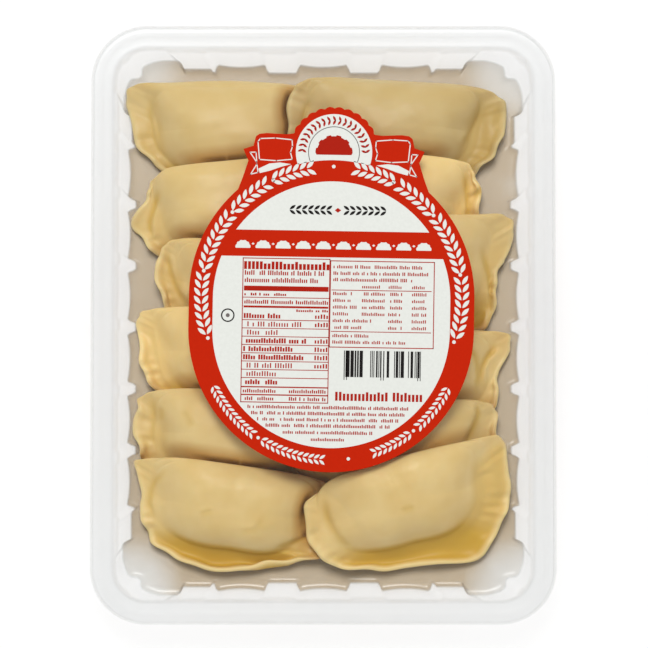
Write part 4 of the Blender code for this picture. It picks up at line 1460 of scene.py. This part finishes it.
for side in (1.0, -1.0):
    heading = maths(garland, "ADD", course, maths(garland, "MULTIPLY", given.outputs["Tilt"], side))
    beside = maths(garland, "ADD", course, side * math.pi / 2)
    reach = given.outputs["Spread"]
    out_x = maths(garland, "MULTIPLY", maths(garland, "COSINE", beside), reach)
    out_y = maths(garland, "MULTIPLY", maths(garland, "SINE", beside), reach)
    shifted = put(garland, "GeometryNodeSetPosition", steps)
    wire(garland, shifted.inputs["Offset"], put(garland, "ShaderNodeCombineXYZ", out_x, out_y, 0.0))
    planted = put(garland, "GeometryNodeInstanceOnPoints", shifted)
    wire(garland, planted.inputs["Instance"], solid)
    turn = put(garland, "ShaderNodeCombineXYZ", 0.0, 0.0, heading)
    wire(garland, planted.inputs["Rotation"], turn)
    garland.links.new(planted.outputs[0], pairs.inputs["Geometry"])
whole = put(garland, "GeometryNodeRealizeInstances", pairs)
wire(garland, result.inputs["Geometry"], put(garland, "GeometryNodeSetMaterial", whole, None, given.outputs["Material"]))


def leaf_pairs(name, paths, level, material, step, length, width, spread, tilt):
    """Leaves along paths given in mm on the label."""
    mesh = bpy.data.meshes.new(name)
    points = []
    edges = []
    for path_points in paths:
        first = len(points)
        points += [(x * MM, y * MM, 0.0) for x, y in path_points]
        edges += [(first + index, first + index + 1) for index in range(len(path_points) - 1)]
    mesh.from_pydata(points, edges, [])
    made = bpy.data.objects.new(name, mesh)
    scene.collection.objects.link(made)
    sizes = {"Step": step * MM, "Leaf length": length * MM, "Leaf width": width * MM, "Spread": spread * MM,
             "Tilt": math.radians(tilt), "Thickness": (LAYER + SINK) * MM, "Material": material}
    use_tree(made, garland, sizes)
    return lay_on_label(baked(made), level)


print("leaf tree has", len(garland.nodes), "nodes")

# %% Garlands, petals and small motifs
RING_MIDDLE = 53.2
ears = []
for start, end in ((-16, 8), (13, 37), (42, 59), (64, 80)):
    ears.append(arc(0.0, HALF_STRAIGHT, RING_MIDDLE, start, end, 24))
    ears.append(arc(0.0, HALF_STRAIGHT, RING_MIDDLE, 180 - start, 180 - end, 24))
leaf_pairs("label_garland", ears, card_top, print_white, 2.9, 4.3, 1.65, 1.6, 38)
low_ears = [arc(0.0, -HALF_STRAIGHT, RING_MIDDLE, start, end, 20) for start, end in ((208, 234), (240, 267))]
low_ears += [arc(0.0, -HALF_STRAIGHT, RING_MIDDLE, start, end, 20) for start, end in ((333, 313), (307, 290))]
leaf_pairs("label_low_garland", low_ears, card_top, print_white, 2.1, 2.9, 1.15, 1.1, 38)
sprig = [[(-16.5, 42.0), (-1.5, 42.0)], [(20.5, 42.0), (5.5, 42.0)]]
leaf_pairs("label_sprig", sprig, card_top + LAYER, print_black, 2.3, 3.0, 1.15, 1.0, 36)
petals = [arc(0.0, BADGE_RISE, 13.0, 2, 178, 60)]
leaf_pairs("label_petals", petals, card_top + LAYER, print_red, 2.15, 2.4, 0.95, 0.75, 62)


def moved(shape, x, y, size=1.0):
    """A shape scaled and moved."""
    return [(x + px * size, y + py * size) for px, py in shape]


def dumpling_sign(steps=24):
    """A small half moon with a notched round edge."""
    points = [(-0.94, -0.12), (0.94, -0.12)]
    for angle in np.linspace(0, 180, steps + 1):
        reach = 1.0 - 0.07 * (math.sin(math.radians(angle) * 11) < 0)
        points.append((reach * math.cos(math.radians(angle)), 0.95 * reach * math.sin(math.radians(angle))))
    return points


lozenge = [(1.0, 0.0), (0.0, 0.75), (-1.0, 0.0), (0.0, -0.75)]
dots = []
for angle in (-19.5, 10.5, 39.5, 62.5, 90.0, 117.5, 140.5, 169.5, 199.5):
    x = RING_MIDDLE * math.cos(math.radians(angle))
    y = HALF_STRAIGHT + RING_MIDDLE * math.sin(math.radians(angle))
    dots.append(arc(x, y, 0.75, 0, 345, 23))
for angle in (237.0, 278.5, 310.0):
    x = RING_MIDDLE * math.cos(math.radians(angle))
    y = -HALF_STRAIGHT + RING_MIDDLE * math.sin(math.radians(angle))
    dots.append(arc(x, y, 0.7, 0, 345, 23))
for number in range(10):
    dots.append(moved(dumpling_sign(), -36.5 + 8.2 * number, 26.4, 3.1))
for number in range(9):
    dots.append(moved(lozenge, -32.4 + 8.2 * number, 27.8, 0.65))
printed("label_white_motifs", dots, card_top - SINK, card_top + LAYER, print_white)

dark = [moved(dumpling_sign(66), 0.0, 65.6, 7.6), moved(lozenge, 2.0, 42.0, 1.3)]
printed("label_dark_motifs", dark, card_top + LAYER - SINK, card_top + 2 * LAYER, print_red)
ring_line = arc(0.0, BADGE_RISE, 10.4, -22, 202, 60)
sprays = line_strip(ring_line, 0.28)
sprays += line_strip(arc(-42.2, -1.6, 2.5, 0, 360, 36), 0.5) + [arc(-42.2, -1.6, 0.8, 0, 345, 23)]
printed("label_ring_line", sprays, card_top + LAYER - SINK, card_top + 2 * LAYER, print_grey)
print("motifs printed")
